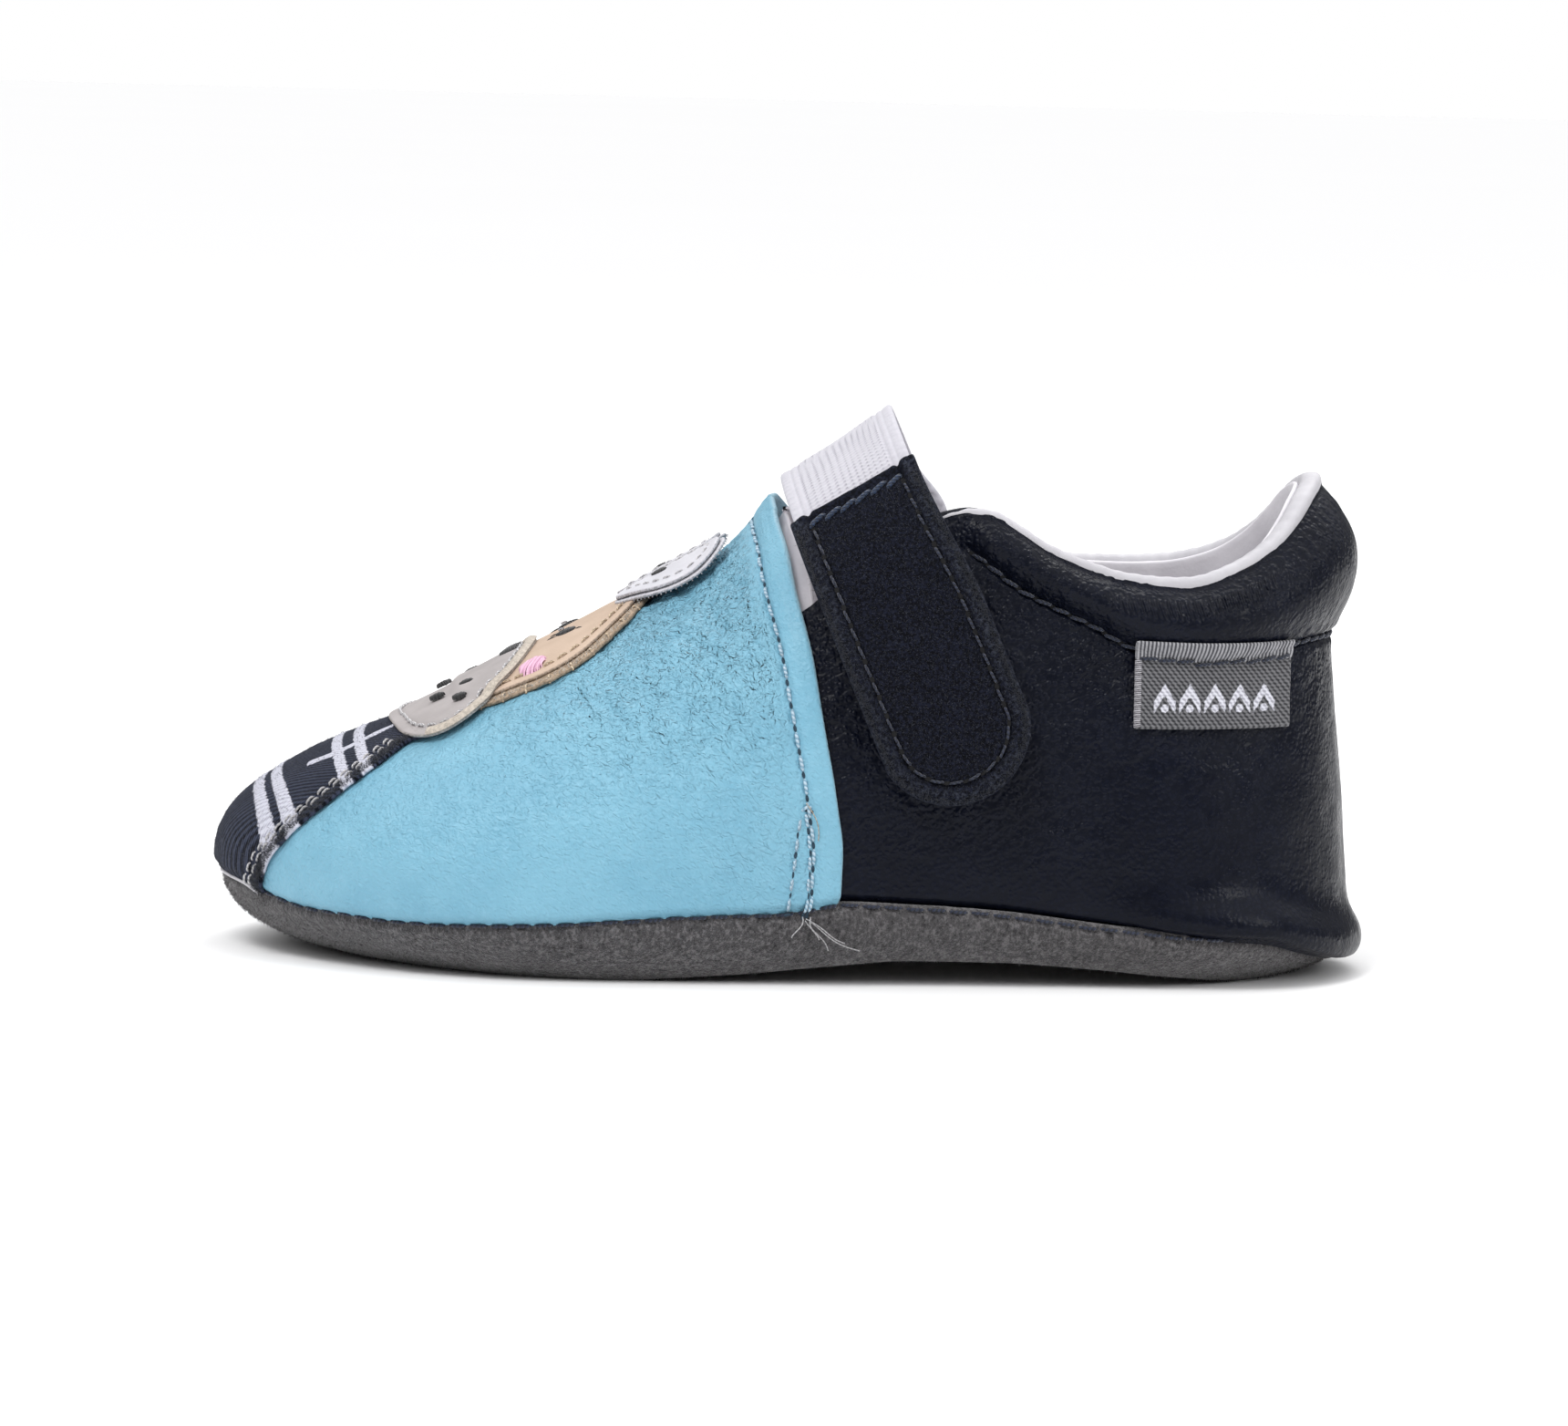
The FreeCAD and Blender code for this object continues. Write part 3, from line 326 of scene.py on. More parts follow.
def shell(name, P, N, thick, body, closed=False, disc=False, rim=5, bulge=1.0, uv=None,
          attrs=None, material=None, inner=None):
    """A sheet of leather or cloth: outer grid P with normals N, its inner face a thickness
    below, and a rounded edge. closed: the columns wrap round. disc: row 0 is a centre."""
    R, C = P.shape[:2]
    thick = np.broadcast_to(np.asarray(thick, float), (R, C))
    Q = P - N * thick[..., None] if inner is None else inner
    idx = np.arange(R * C).reshape(R, C)
    verts = [P.reshape(-1, 3), Q.reshape(-1, 3)]
    if uv is None:
        lu = np.concatenate([[0], np.cumsum(np.linalg.norm(np.diff(P[R // 2], axis=0), axis=-1))])
        lv = np.concatenate([[0], np.cumsum(np.linalg.norm(np.diff(P[:, C // 2], axis=0), axis=-1))])
        uv = np.stack(np.meshgrid(lu, lv), -1)
    uvs = [uv.reshape(-1, 2), uv.reshape(-1, 2)]
    keys = list((attrs or {}).keys())
    at = {k: [np.broadcast_to(attrs[k], (R, C)).ravel()] * 2 for k in keys}
    edge = [np.zeros(R * C), np.ones(R * C)]
    nxt = np.roll(idx, -1, axis=1) if closed else None
    a = idx[:-1] if closed else idx[:-1, :-1]
    b = nxt[:-1] if closed else idx[:-1, 1:]
    c = nxt[1:] if closed else idx[1:, 1:]
    d = idx[1:] if closed else idx[1:, :-1]
    quads = np.stack([a.ravel(), b.ravel(), c.ravel(), d.ravel()], -1)
    flatP = verts[0]
    m = quads[len(quads) // 2]
    fn = np.cross(flatP[m[1]] - flatP[m[0]], flatP[m[2]] - flatP[m[0]])
    flatN = N.reshape(-1, 3)
    if fn @ flatN[m[0]] < 0:
        quads = quads[:, ::-1]
    faces = [quads, quads[:, ::-1] + R * C]
    tris = []
    count = 2 * R * C
    loops_ = []
    if closed:
        if not disc:
            loops_.append((idx[0], idx[1]))
        loops_.append((idx[-1], idx[-2]))
        if disc:
            for base, flip in ((0, False), (R * C, True)):
                cen = (P if base == 0 else Q)[0].mean(axis=0)
                verts.append(cen[None])
                uvs.append(uv[0].mean(axis=0)[None])
                edge.append(np.array([0.0 if base == 0 else 1.0]))
                for k in keys:
                    at[k].append(np.array([np.mean(np.broadcast_to(attrs[k], (R, C))[0])]))
                ring = idx[0] + base
                t = np.stack([ring, np.roll(ring, -1), np.full(C, count)], -1)
                g = np.cross((P if base == 0 else Q)[0][C // 4] - (P if base == 0 else Q)[0][0],
                             cen - (P if base == 0 else Q)[0][0])
                if (g @ N[0, 0] < 0) != flip:
                    t = t[:, ::-1]
                tris.append(t)
                count += 1
    else:
        per = np.concatenate([idx[0, :-1], idx[:-1, -1], idx[-1, :0:-1], idx[:0:-1, 0]])
        ins = np.concatenate([idx[1, :-1], idx[:-1, -2], idx[-2, :0:-1], idx[:0:-1, 1]])
        ins[0] = idx[1, 1]
        ins[C - 1] = idx[1, -2]
        ins[C - 1 + R - 1] = idx[-2, -2]
        ins[2 * (C - 1) + R - 1] = idx[-2, 1]
        loops_.append((per, ins))
    flatQ = Q.reshape(-1, 3)
    for loop, inside in loops_:
        B, Bi, In, Nn = flatP[loop], flatQ[loop], flatP[inside], flatN[loop]
        T = unit(np.roll(B, -1, 0) - np.roll(B, 1, 0))
        O = B - In
        O = O - Nn * np.sum(O * Nn, -1, keepdims=True)
        O = unit(O - T * np.sum(O * T, -1, keepdims=True))
        sgn = np.median(np.sum(np.cross(T, O) * Nn, -1))
        mid, rad = (B + Bi) / 2, (B - Bi) / 2
        L = np.linalg.norm(rad, axis=-1, keepdims=True)
        prev = loop
        n = len(loop)
        for k in range(1, rim + 1):
            if k < rim:
                ph = math.pi * k / rim
                V = mid + rad * math.cos(ph) + O * L * math.sin(ph) * bulge
                verts.append(V)
                uvs.append(uv.reshape(-1, 2)[loop])
                edge.append(np.full(n, min(1.0, 2.0 * k / rim)))
                for key in keys:
                    at[key].append(np.broadcast_to(attrs[key], (R, C)).ravel()[loop])
                cur = np.arange(count, count + n)
                count += n
            else:
                cur = loop + R * C
            q = np.stack([prev, np.roll(prev, -1), np.roll(cur, -1), cur], -1)
            faces.append(q if sgn > 0 else q[:, ::-1])
            prev = cur
    at = {k: np.concatenate(v) for k, v in at.items()}
    at["edge"] = np.concatenate(edge)
    return make(name, np.concatenate(verts), faces + tris, body, uv=np.concatenate(uvs),
                attrs=at, material=material)


def tubes(name, lines, radii, body, sides=6, material=None, twist=0.0):
    """Many round threads in one mesh. lines: list of (n, 3) arrays; radii: number or arrays."""
    V, F, U, A, base = [], [], [], [], 0
    for j, L in enumerate(lines):
        L = np.asarray(L, float)
        n = len(L)
        r = np.broadcast_to(np.asarray(radii[j] if isinstance(radii, (list, tuple)) else radii, float), (n,))
        T = unit(np.gradient(L, axis=0))
        ref = np.array([0.0, 0.0, 1.0]) if abs(T[n // 2][2]) < 0.9 else np.array([1.0, 0, 0])
        X = unit(np.cross(T, ref))
        Y = np.cross(T, X)
        ang = np.linspace(0, 2 * math.pi, sides, endpoint=False)
        ring = (X[:, None] * np.cos(ang)[None, :, None] + Y[:, None] * np.sin(ang)[None, :, None])
        V.append((L[:, None] + ring * r[:, None, None]).reshape(-1, 3))
        s = np.concatenate([[0], np.cumsum(np.linalg.norm(np.diff(L, axis=0), axis=-1))])
        U.append(np.stack(np.broadcast_arrays(s[:, None], (ang / (2 * math.pi))[None]), -1).reshape(-1, 2))
        A.append(np.full(n * sides, (j * 0.61803) % 1.0))
        i = np.arange(n * sides).reshape(n, sides) + base
        nx = np.roll(i, -1, axis=1)
        F.append(np.stack([i[:-1].ravel(), i[1:].ravel(), nx[1:].ravel(), nx[:-1].ravel()], -1))
        base += n * sides
    ends = []
    return make(name, np.concatenate(V), [np.concatenate(F)[:, ::-1]], body, uv=np.concatenate(U),
                attrs={"pick": np.concatenate(A)}, material=material)


def resample(line, step, closed=False):
    L = np.asarray(line, float)
    if closed:
        L = np.concatenate([L, L[:1]])
    s = np.concatenate([[0], np.cumsum(np.linalg.norm(np.diff(L, axis=0), axis=-1))])
    n = max(2, int(round(s[-1] / step)) + 1)
    t = np.linspace(0, s[-1], n)
    return np.stack([np.interp(t, s, L[:, k]) for k in range(3)], -1), s[-1]


def stitch_row(P, N, pitch=2.6, length=0.78, radius=0.2, rise=0.16, sink=0.18, wobble=0.05, slant=0.0):
    """Threads of one run of stitches on points P with normals N; returns lines, radii, holes."""
    both = np.concatenate([P, N], -1)
    s = np.concatenate([[0], np.cumsum(np.linalg.norm(np.diff(P, axis=0), axis=-1))])
    n = max(1, int(round(s[-1] / pitch)))
    step = s[-1] / n
    lines, radii, holes = [], [], []
    for k in range(n):
        mid = (k + 0.5) * step
        t = np.linspace(mid - step * length / 2, mid + step * length / 2, 9)
        q = np.stack([np.interp(t, s, both[:, j]) for j in range(6)], -1)
        pos, nn = q[:, :3], unit(q[:, 3:])
        side = unit(np.cross(nn, np.gradient(pos, axis=0)))
        w = np.linspace(-1, 1, 9)
        lift = rise * (1 - w ** 4) - sink * w ** 4
        pos = pos + nn * lift[:, None] + side * ((slant * w + rng.normal(0, wobble)))[:, None]
        lines.append(pos)
        radii.append(radius * (1 - 0.35 * w ** 6) * (1 + rng.normal(0, 0.04)))
        holes.append((np.array([np.interp(k * step, s, both[:, j]) for j in range(6)])))
    holes.append(np.array([np.interp(s[-1], s, both[:, j]) for j in range(6)]))
    return lines, radii, holes


def hole_shade_discs(name, holes, radius, body, material, stretch=1.5, lift=0.02, along=None):
    """Small dark discs of painted shade where the needle went through."""
    V, F, base = [], [], 0
    ang = np.linspace(0, 2 * math.pi, 10, endpoint=False)
    for j, h in enumerate(holes):
        c, n = h[:3], unit(h[3:])
        k = min(j + 1, len(holes) - 1)
        d = holes[k][:3] - holes[max(k - 1, 0)][:3]
        if np.linalg.norm(d) > 6 or np.linalg.norm(d) < 1e-6:
            d = np.array([1.0, 0, 0.2])
        x = unit(d - n * (d @ n))
        y = np.cross(n, x)
        ring = c + n * lift + x * np.cos(ang)[:, None] * radius * stretch + y * np.sin(ang)[:, None] * radius
        V.append(np.concatenate([ring, [c + n * (lift + 0.03)]]))
        i = np.arange(10)
        F.append(np.stack([i, (i + 1) % 10, np.full(10, 10)], -1) + base)
        base += 11
    return make(name, np.concatenate(V), [np.concatenate(F)], body, material=material)


def fibres(name, P, N, length, body, material, radius=0.03, lean=0.7, curl=0.3):
    """Loose fibre ends: thin three-sided spikes that lean at random."""
    n = len(P)
    d = rng.normal(size=(n, 3))
    d = unit(d - N * np.sum(d * N, -1, keepdims=True))
    L = length * rng.uniform(0.4, 1.2, n)[:, None]
    lean_ = lean * rng.uniform(0.2, 1.4, n)[:, None]
    p1 = P + N * L * 0.45 + d * L * 0.35 * lean_
    side = np.cross(N, d)
    p2 = P + N * L * 0.75 + d * L * lean_ + side * L * curl * rng.normal(size=(n, 1))
    V = []
    for k, (c, r) in enumerate(((P - N * 0.05, 1.0), (p1, 0.8))):
        for j in range(3):
            a = 2 * math.pi * j / 3
            V.append(c + (d * math.cos(a) + side * math.sin(a)) * radius * r)
    V.append(p2)
    V = np.stack(V, 1).reshape(-1, 3)
    b = (np.arange(n) * 7)[:, None]
    q = np.concatenate([b + np.array([[j, (j + 1) % 3, 3 + (j + 1) % 3, 3 + j]]) for j in range(3)])
    t = np.concatenate([b + np.array([[3 + j, 3 + (j + 1) % 3, 6]]) for j in range(3)])
    return make(name, V, [q, t], body, material=material,
                attrs={"pick": np.repeat(rng.uniform(0, 1, n), 7)})


# =====================================================================================
# Materials
# =====================================================================================
class Mat:
    def __init__(self, name, color, rough, **sockets):
        self.m = bpy.data.materials.new(name)
        self.m.use_nodes = True
        self.t = self.m.node_tree
        self.b = self.t.nodes["Principled BSDF"]
        self.b.inputs["Base Color"].default_value = (*color, 1)
        self.b.inputs["Roughness"].default_value = rough
        for k, v in sockets.items():
            self.b.inputs[k.replace("_", " ")].default_value = v
        self.tc = None
        self.height = None

    def node(self, kind, **props):
        n = self.t.nodes.new(kind)
        for k, v in props.items():
            setattr(n, k, v)
        return n

    def link(self, a, b):
        self.t.links.new(a, b)

    def put(self, socket, v):
        if isinstance(v, (int, float)):
            socket.default_value = v
        elif isinstance(v, tuple):
            socket.default_value = v if len(v) == len(socket.default_value) else (*v, 1)
        else:
            self.link(v, socket)

    def coords(self, kind="Object", scale=(1, 1, 1), rotate=(0, 0, 0)):
        if self.tc is None:
            self.tc = self.node("ShaderNodeTexCoord")
        mp = self.node("ShaderNodeMapping")
        mp.inputs["Scale"].default_value = scale
        mp.inputs["Rotation"].default_value = rotate
        self.link(self.tc.outputs[kind], mp.inputs["Vector"])
        return mp.outputs["Vector"]

    def grainy(self, angle, stretch, axis=1):
        """Object coordinates turned about one axis, then stretched."""
        if self.tc is None:
            self.tc = self.node("ShaderNodeTexCoord")
        a, b = self.node("ShaderNodeMapping"), self.node("ShaderNodeMapping")
        turn = [0, 0, 0]
        turn[axis] = angle
        a.inputs["Rotation"].default_value = turn
        b.inputs["Scale"].default_value = stretch
        self.link(self.tc.outputs["Object"], a.inputs["Vector"])
        self.link(a.outputs["Vector"], b.inputs["Vector"])
        return b.outputs["Vector"]

    def wrinkle(self, size, vec, width=.10, detail=2.0, distort=.8):
        """0 in thin valleys, 1 between them."""
        n = self.noise(size, vec=vec, detail=detail, rough=.55, distort=distort)
        return self.ramp(self.math("ABSOLUTE", self.math("SUBTRACT", n, .5)), 0, width)

    def attr(self, name):
        a = self.node("ShaderNodeAttribute", attribute_name=name)
        return a.outputs["Fac"]

    def noise(self, size, vec=None, detail=2.0, rough=0.5, distort=0.0, kind="Object"):
        """size in millimetres for Object coordinates; UV maps are in millimetres."""
        n = self.node("ShaderNodeTexNoise")
        n.inputs["Scale"].default_value = (1000.0 if kind == "Object" else 1.0) / size
        n.inputs["Detail"].default_value = detail
        n.inputs["Roughness"].default_value = rough
        n.inputs["Distortion"].default_value = distort
        self.link(vec if vec is not None else self.coords(kind), n.inputs["Vector"])
        return n.outputs["Fac"]

    def cells(self, size, vec=None, feature="F1", kind="Object", random=1.0, smoothness=None):
        n = self.node("ShaderNodeTexVoronoi", feature=feature)
        n.inputs["Scale"].default_value = (1000.0 if kind == "Object" else 1.0) / size
        n.inputs["Randomness"].default_value = random
        if smoothness is not None and "Smoothness" in n.inputs:
            n.inputs["Smoothness"].default_value = smoothness
        self.link(vec if vec is not None else self.coords(kind), n.inputs["Vector"])
        return n.outputs["Distance"]

    def warp(self, size, amount, kind="Object", vec=None):
        """Coordinates pushed about by noise; amount in millimetres."""
        src = vec if vec is not None else self.coords(kind)
        n = self.node("ShaderNodeTexNoise")
        n.inputs["Scale"].default_value = (1000.0 if kind == "Object" else 1.0) / size
        n.inputs["Detail"].default_value = 1.0
        self.link(src, n.inputs["Vector"])
        s = self.node("ShaderNodeVectorMath", operation="SUBTRACT")
        self.link(n.outputs["Color"], s.inputs[0])
        s.inputs[1].default_value = (0.5, 0.5, 0.5)
        k = self.node("ShaderNodeVectorMath", operation="SCALE")
        k.inputs["Scale"].default_value = amount * (MM if kind == "Object" else 1.0) * 2
        self.link(s.outputs[0], k.inputs[0])
        a = self.node("ShaderNodeVectorMath", operation="ADD")
        self.link(src, a.inputs[0])
        self.link(k.outputs[0], a.inputs[1])
        return a.outputs[0]

    def math(self, op, a, b=0.0, c=None, clamp=False):
        n = self.node("ShaderNodeMath", operation=op, use_clamp=clamp)
        self.put(n.inputs[0], a)
        self.put(n.inputs[1], b)
        if c is not None:
            self.put(n.inputs[2], c)
        return n.outputs[0]

    def ramp(self, v, lo, hi, a=0.0, b=1.0):
        n = self.node("ShaderNodeMapRange", interpolation_type="SMOOTHSTEP")
        self.put(n.inputs["Value"], v)
        n.inputs["From Min"].default_value = lo
        n.inputs["From Max"].default_value = hi
        n.inputs["To Min"].default_value = a
        n.inputs["To Max"].default_value = b
        return n.outputs["Result"]

    def mix(self, f, a, b, blend="MIX"):
        n = self.node("ShaderNodeMix", data_type="RGBA", blend_type=blend)
        self.put(n.inputs[0], f)
        self.put(n.inputs[6], a)
        self.put(n.inputs[7], b)
        return n.outputs[2]

    def bump(self, height, dist, strength=1.0):
        """dist in millimetres for a height of 1."""
        n = self.node("ShaderNodeBump")
        n.inputs["Strength"].default_value = strength
        n.inputs["Distance"].default_value = dist * MM
        self.link(height, n.inputs["Height"])
        if self.height is not None:
            self.link(self.height, n.inputs["Normal"])
        self.height = n.outputs["Normal"]
        self.link(self.height, self.b.inputs["Normal"])

    def color(self, v):
        self.put(self.b.inputs["Base Color"], v)

    def rough(self, v):
        self.put(self.b.inputs["Roughness"], v)

    def sep(self, vec):
        n = self.node("ShaderNodeSeparateXYZ")
        self.link(vec, n.inputs[0])
        return n.outputs


def blue_leather():
    M = Mat("blue_leather", (.19, .45, .62), .42, Specular_IOR_Level=.35)
    w = M.attr("wr")
    broad = M.noise(9, detail=2)
    fine = M.noise(.9, detail=3)
    va = M.grainy(math.radians(-28), (.62, 1, 1))
    vb = M.grainy(math.radians(-62), (.6, 1, 1))
    w1 = M.wrinkle(1.5, va, .34, 1.0, .3)
    vl = M.grainy(math.radians(-70), (.30, 1, 1))
    w2 = M.noise(2.3, vec=vl, detail=3, rough=.52, distort=.35)
    w3 = M.wrinkle(.62, va, .16, 1.0, .4)
    col = M.mix(M.ramp(broad, .3, .7), (.162, .374, .500), (.190, .414, .540))
    # painted shade: the colour is pulled towards a darker blue (.095, .29, .43) in the wrinkle valleys of w1 and w2,
    # more where the wrinkle mask wr is high
    dark = M.math("MULTIPLY_ADD", M.math("SUBTRACT", 1.0, w1), .07, M.math("MULTIPLY", M.ramp(w2, .50, .32), .08))
    col = M.mix(M.math("MULTIPLY", dark, M.math("MULTIPLY_ADD", w, .9, .1)), col, (.095, .29, .43))
    col = M.mix(M.math("MULTIPLY", M.ramp(fine, .45, .75), .16), col, (.29, .53, .67))
    M.color(M.mix(M.math("MULTIPLY", M.ramp(M.attr("edge"), .2, .9), .5), col, (.42, .56, .62)))
    M.rough(M.ramp(fine, .3, .7, .36, .50))
    amt = M.math("MULTIPLY_ADD", w, .85, .15)
    M.bump(M.math("MULTIPLY", w2, w), 2.0, 1.0)
    M.bump(M.math("MULTIPLY", w1, amt), .20, 1.0)
    M.bump(M.math("MULTIPLY", w3, M.math("MULTIPLY_ADD", w, .7, .3)), .14, 1.0)
    M.bump(M.cells(.40, feature="SMOOTH_F1", smoothness=.5), .09, .9)
    return M.m


def navy_leather():
    M = Mat("navy_leather", (.0045, .0056, .010), .30, Specular_IOR_Level=.11)
    w = M.attr("wr")
    broad = M.noise(12, detail=2)
    grain = M.cells(.60, vec=M.warp(1.5, .25), feature="SMOOTH_F1", smoothness=.35)
    va = M.grainy(math.radians(35), (.62, 1, 1))
    w1 = M.wrinkle(1.2, va, .26, 1.5, .4)
    w2 = M.wrinkle(3.2, va, .20, 1.5, .5)
    col = M.mix(M.ramp(broad, .3, .7), (.0034, .0044, .0098), (.0050, .0064, .0135))
    col = M.mix(M.math("MULTIPLY", M.ramp(grain, .38, .62), .35), col, (.002, .0025, .0045))
    M.color(M.mix(M.math("MULTIPLY", M.ramp(M.attr("edge"), .2, .9), .5), col, (.02, .021, .028)))
    M.rough(M.ramp(M.noise(2.5, detail=3), .3, .7, .26, .40))
    amt = M.math("MULTIPLY_ADD", w, .92, .08)
    s_ = M.sep(M.coords("Object"))
    pk = M.math("SINE", M.math("MULTIPLY", M.math("MULTIPLY_ADD", s_[2], .35, s_[0]), 2 * math.pi / .00062))
    M.bump(M.math("MULTIPLY", pk, M.attr("pucker")), .10, 1.0)
    M.bump(M.math("MULTIPLY", w2, amt), .20, 1.0)
    M.bump(M.math("MULTIPLY", w1, amt), .14, 1.0)
    M.bump(M.math("MULTIPLY", M.ramp(grain, .2, .62, 1.0, 0.0), M.math("MULTIPLY_ADD", w, .8, .2)), .12, 1.0)
    M.bump(M.noise(.22, detail=2), .02, .6)
    return M.m


def white_leather(name="white_leather", tint=(.55, .54, .57), dark=(.47, .46, .49)):
    M = Mat(name, tint, .55, Specular_IOR_Level=.4)
    v = M.ramp(M.noise(6, detail=3), .3, .75)
    col = M.mix(v, dark, tint)
    M.color(col)
    M.rough(M.ramp(M.noise(1.5), .3, .7, .48, .62))
    M.bump(M.cells(.45, feature="SMOOTH_F1", smoothness=.4, vec=M.warp(1, .2)), .03, .6)
    M.bump(M.noise(3.2, detail=3, distort=.6), .25, .35)
    return M.m


def sole_suede():
    M = Mat("sole_suede", (.12, .115, .115), .95, Specular_IOR_Level=.15, Sheen_Weight=.35, Sheen_Roughness=.5)
    v = M.coords("Object", scale=(1, 1, .72))
    a = M.noise(.42, vec=v, detail=3, rough=.7)
    b = M.noise(.9, vec=v, detail=2)
    m = M.math("MULTIPLY_ADD", b, .35, M.math("MULTIPLY", a, .75))
    col = M.mix(M.ramp(m, .40, .50), (.014, .013, .015), (.060, .057, .060))
    col = M.mix(M.ramp(m, .53, .68), col, (.15, .143, .148))
    col = M.mix(M.math("MULTIPLY", M.ramp(M.noise(14, detail=2), .35, .75), .25), col, (.06, .056, .058))
    M.color(col)
    M.bump(a, .45, .9)
    M.bump(M.noise(.16, vec=v, detail=2), .12, .7)
    return M.m


def suede_navy():
    M = Mat("navy_suede", (.008, .010, .016), .85, Specular_IOR_Level=.10, Sheen_Weight=.02, Sheen_Roughness=.4)
    M.b.inputs["Sheen Tint"].default_value = (.55, .6, .8, 1)
    a = M.noise(.36, detail=3, rough=.7)
    col = M.mix(M.ramp(a, .40, .66), (.0012, .0015, .0034), (.0095, .0115, .0225))
    col = M.mix(M.math("MULTIPLY", M.ramp(M.noise(.3, detail=2, rough=.7), .64, .76), .7), col, (.045, .050, .066))
    # lighter speckle in the border band along the edge of the tab, where the raised roll lies
    col = M.mix(M.math("MULTIPLY", M.attr("rub"), M.ramp(M.noise(.5, detail=3, rough=.7), .44, .68)), col,
                (.040, .045, .062))
    M.color(M.mix(M.math("MULTIPLY", M.ramp(M.attr("edge"), .1, .8), .5), col, (.016, .018, .026)))
    M.bump(a, .20, .9)
    M.bump(M.noise(.15, detail=1), .06, .6)
    return M.m


def twill():
    M = Mat("striped_twill", (.02, .025, .05), .82, Specular_IOR_Level=.10, Sheen_Weight=.03)
    uv = M.coords("UV")
    s = M.sep(uv)
    # twill: steep diagonal ribs broken by the weft
    d = M.math("MULTIPLY_ADD", s[1], 1.25, s[0])
    rib = M.math("SINE", M.math("MULTIPLY", d, 2 * math.pi / .72))
    cross = M.math("SINE", M.math("MULTIPLY", s[1], 2 * math.pi / .36))
    weave = M.math("MULTIPLY_ADD", rib, .42, M.math("MULTIPLY", cross, .34))
    fuzz = M.noise(.35, detail=3, rough=.7)
    f = M.math("MULTIPLY_ADD", M.math("SUBTRACT", fuzz, .1), 1.7, weave)
    dark = M.mix(M.ramp(f, .2, 1.2), (.0012, .0018, .005), (.044, .052, .084))
    dark = M.mix(M.math("MULTIPLY", M.ramp(M.noise(7, detail=2), .35, .75), .5), dark, (.010, .012, .022))
    white = M.mix(M.ramp(f, -.2, 1.0), (.32, .32, .39), (.56, .565, .64))
    stripe = M.attr("stripe")
    ragged = M.math("MULTIPLY_ADD", M.math("SUBTRACT", M.noise(.5, detail=2), .5), .55, stripe)
    M.color(M.mix(M.ramp(ragged, -.08, .08), dark, white))
    M.bump(weave, .07, .9)
    M.bump(fuzz, .06, .7)
    return M.m


def panel_leather(name, light, dark, edge, speck=0.0, rough=.62):
    M = Mat(name, light, rough, Specular_IOR_Level=.3)
    col = M.mix(M.ramp(M.noise(5, detail=3), .3, .7), dark, light)
    if speck:
        sp = M.noise(.45, detail=3, rough=.8)
        col = M.mix(M.math("MULTIPLY", M.ramp(sp, .45, .6), speck), col, tuple(c * .45 for c in dark))
        col = M.mix(M.math("MULTIPLY", M.ramp(sp, .52, .40), speck * .6), col, tuple(min(1, c * 1.25) for c in light))
    M.color(M.mix(M.ramp(M.attr("edge"), .15, .8), col, M.mix(M.ramp(M.noise(.3, detail=2), .4, .6), edge,
                                                              tuple(c * .6 for c in edge))))
    M.bump(M.cells(.3, feature="SMOOTH_F1", smoothness=.4), .03, .6)
    M.bump(M.noise(2.2, detail=3), .14, .5)
    return M.m


def thread(name, light, dark, rough=.55, sheen=.2):
    M = Mat(name, light, rough, Specular_IOR_Level=.4, Sheen_Weight=sheen)
    uv = M.coords("UV")
    s = M.sep(uv)
    ply = M.math("SINE", M.math("MULTIPLY_ADD", s[0], 2 * math.pi / .55, M.math("MULTIPLY", s[1], 2 * math.pi)))
    # painted shade: the grooves between the plies, where ply is low, are coloured dark
    col = M.mix(M.ramp(ply, -1, .4), dark, light)
    M.color(M.mix(M.math("MULTIPLY", M.attr("pick"), .35), col, tuple(c * .72 for c in light)))
    M.bump(ply, .06, .9)
    return M.m


def plain_thread(name, light, dark, rough=.5):
    M = Mat(name, light, rough, Specular_IOR_Level=.45, Sheen_Weight=.15)
    v = M.math("MULTIPLY_ADD", M.attr("pick"), .6, M.math("MULTIPLY", M.noise(.4, detail=2), .5))
    M.color(M.mix(M.ramp(v, .2, .9), dark, light))
    M.bump(M.noise(.12, detail=1), .02, .6)
    return M.m


def elastic_knit():
    M = Mat("white_elastic", (.62, .60, .66), .8, Specular_IOR_Level=.2, Sheen_Weight=.1)
    s = M.sep(M.coords("UV"))
    across, along = s[0], s[1]
    rib = M.math("SINE", M.math("MULTIPLY", across, 2 * math.pi / .98))
    row = M.math("SINE", M.math("MULTIPLY", along, 2 * math.pi / .66))
    half_row = M.math("SINE", M.math("MULTIPLY_ADD", along, 2 * math.pi / .66, M.math("MULTIPLY", rib, .9)))
    body = M.attr("body")
    jit = M.math("SUBTRACT", M.noise(.8, detail=2), .5)
    dot = M.math("MULTIPLY", M.ramp(rib, -.35, -.95), M.ramp(half_row, .1, -.8))
    h = M.math("MULTIPLY", M.math("MULTIPLY_ADD", dot, -.9, M.math("MULTIPLY_ADD", half_row, .20, M.math("MULTIPLY", rib, .05))),
               M.math("MULTIPLY_ADD", body, .85, .15))
    # painted shade: the knit is coloured darker where its height h is low, and darkest in the knit holes (dot)
    col = M.mix(M.ramp(M.math("MULTIPLY_ADD", jit, .8, h), -.5, .35), (.46, .45, .50), (.54, .53, .575))
    M.color(M.mix(M.math("MULTIPLY", M.math("MULTIPLY", dot, body), .4), col, (.36, .34, .41)))
    M.bump(h, .10, .9)
    M.bump(M.noise(.25, detail=2), .04, .6)
    return M.m


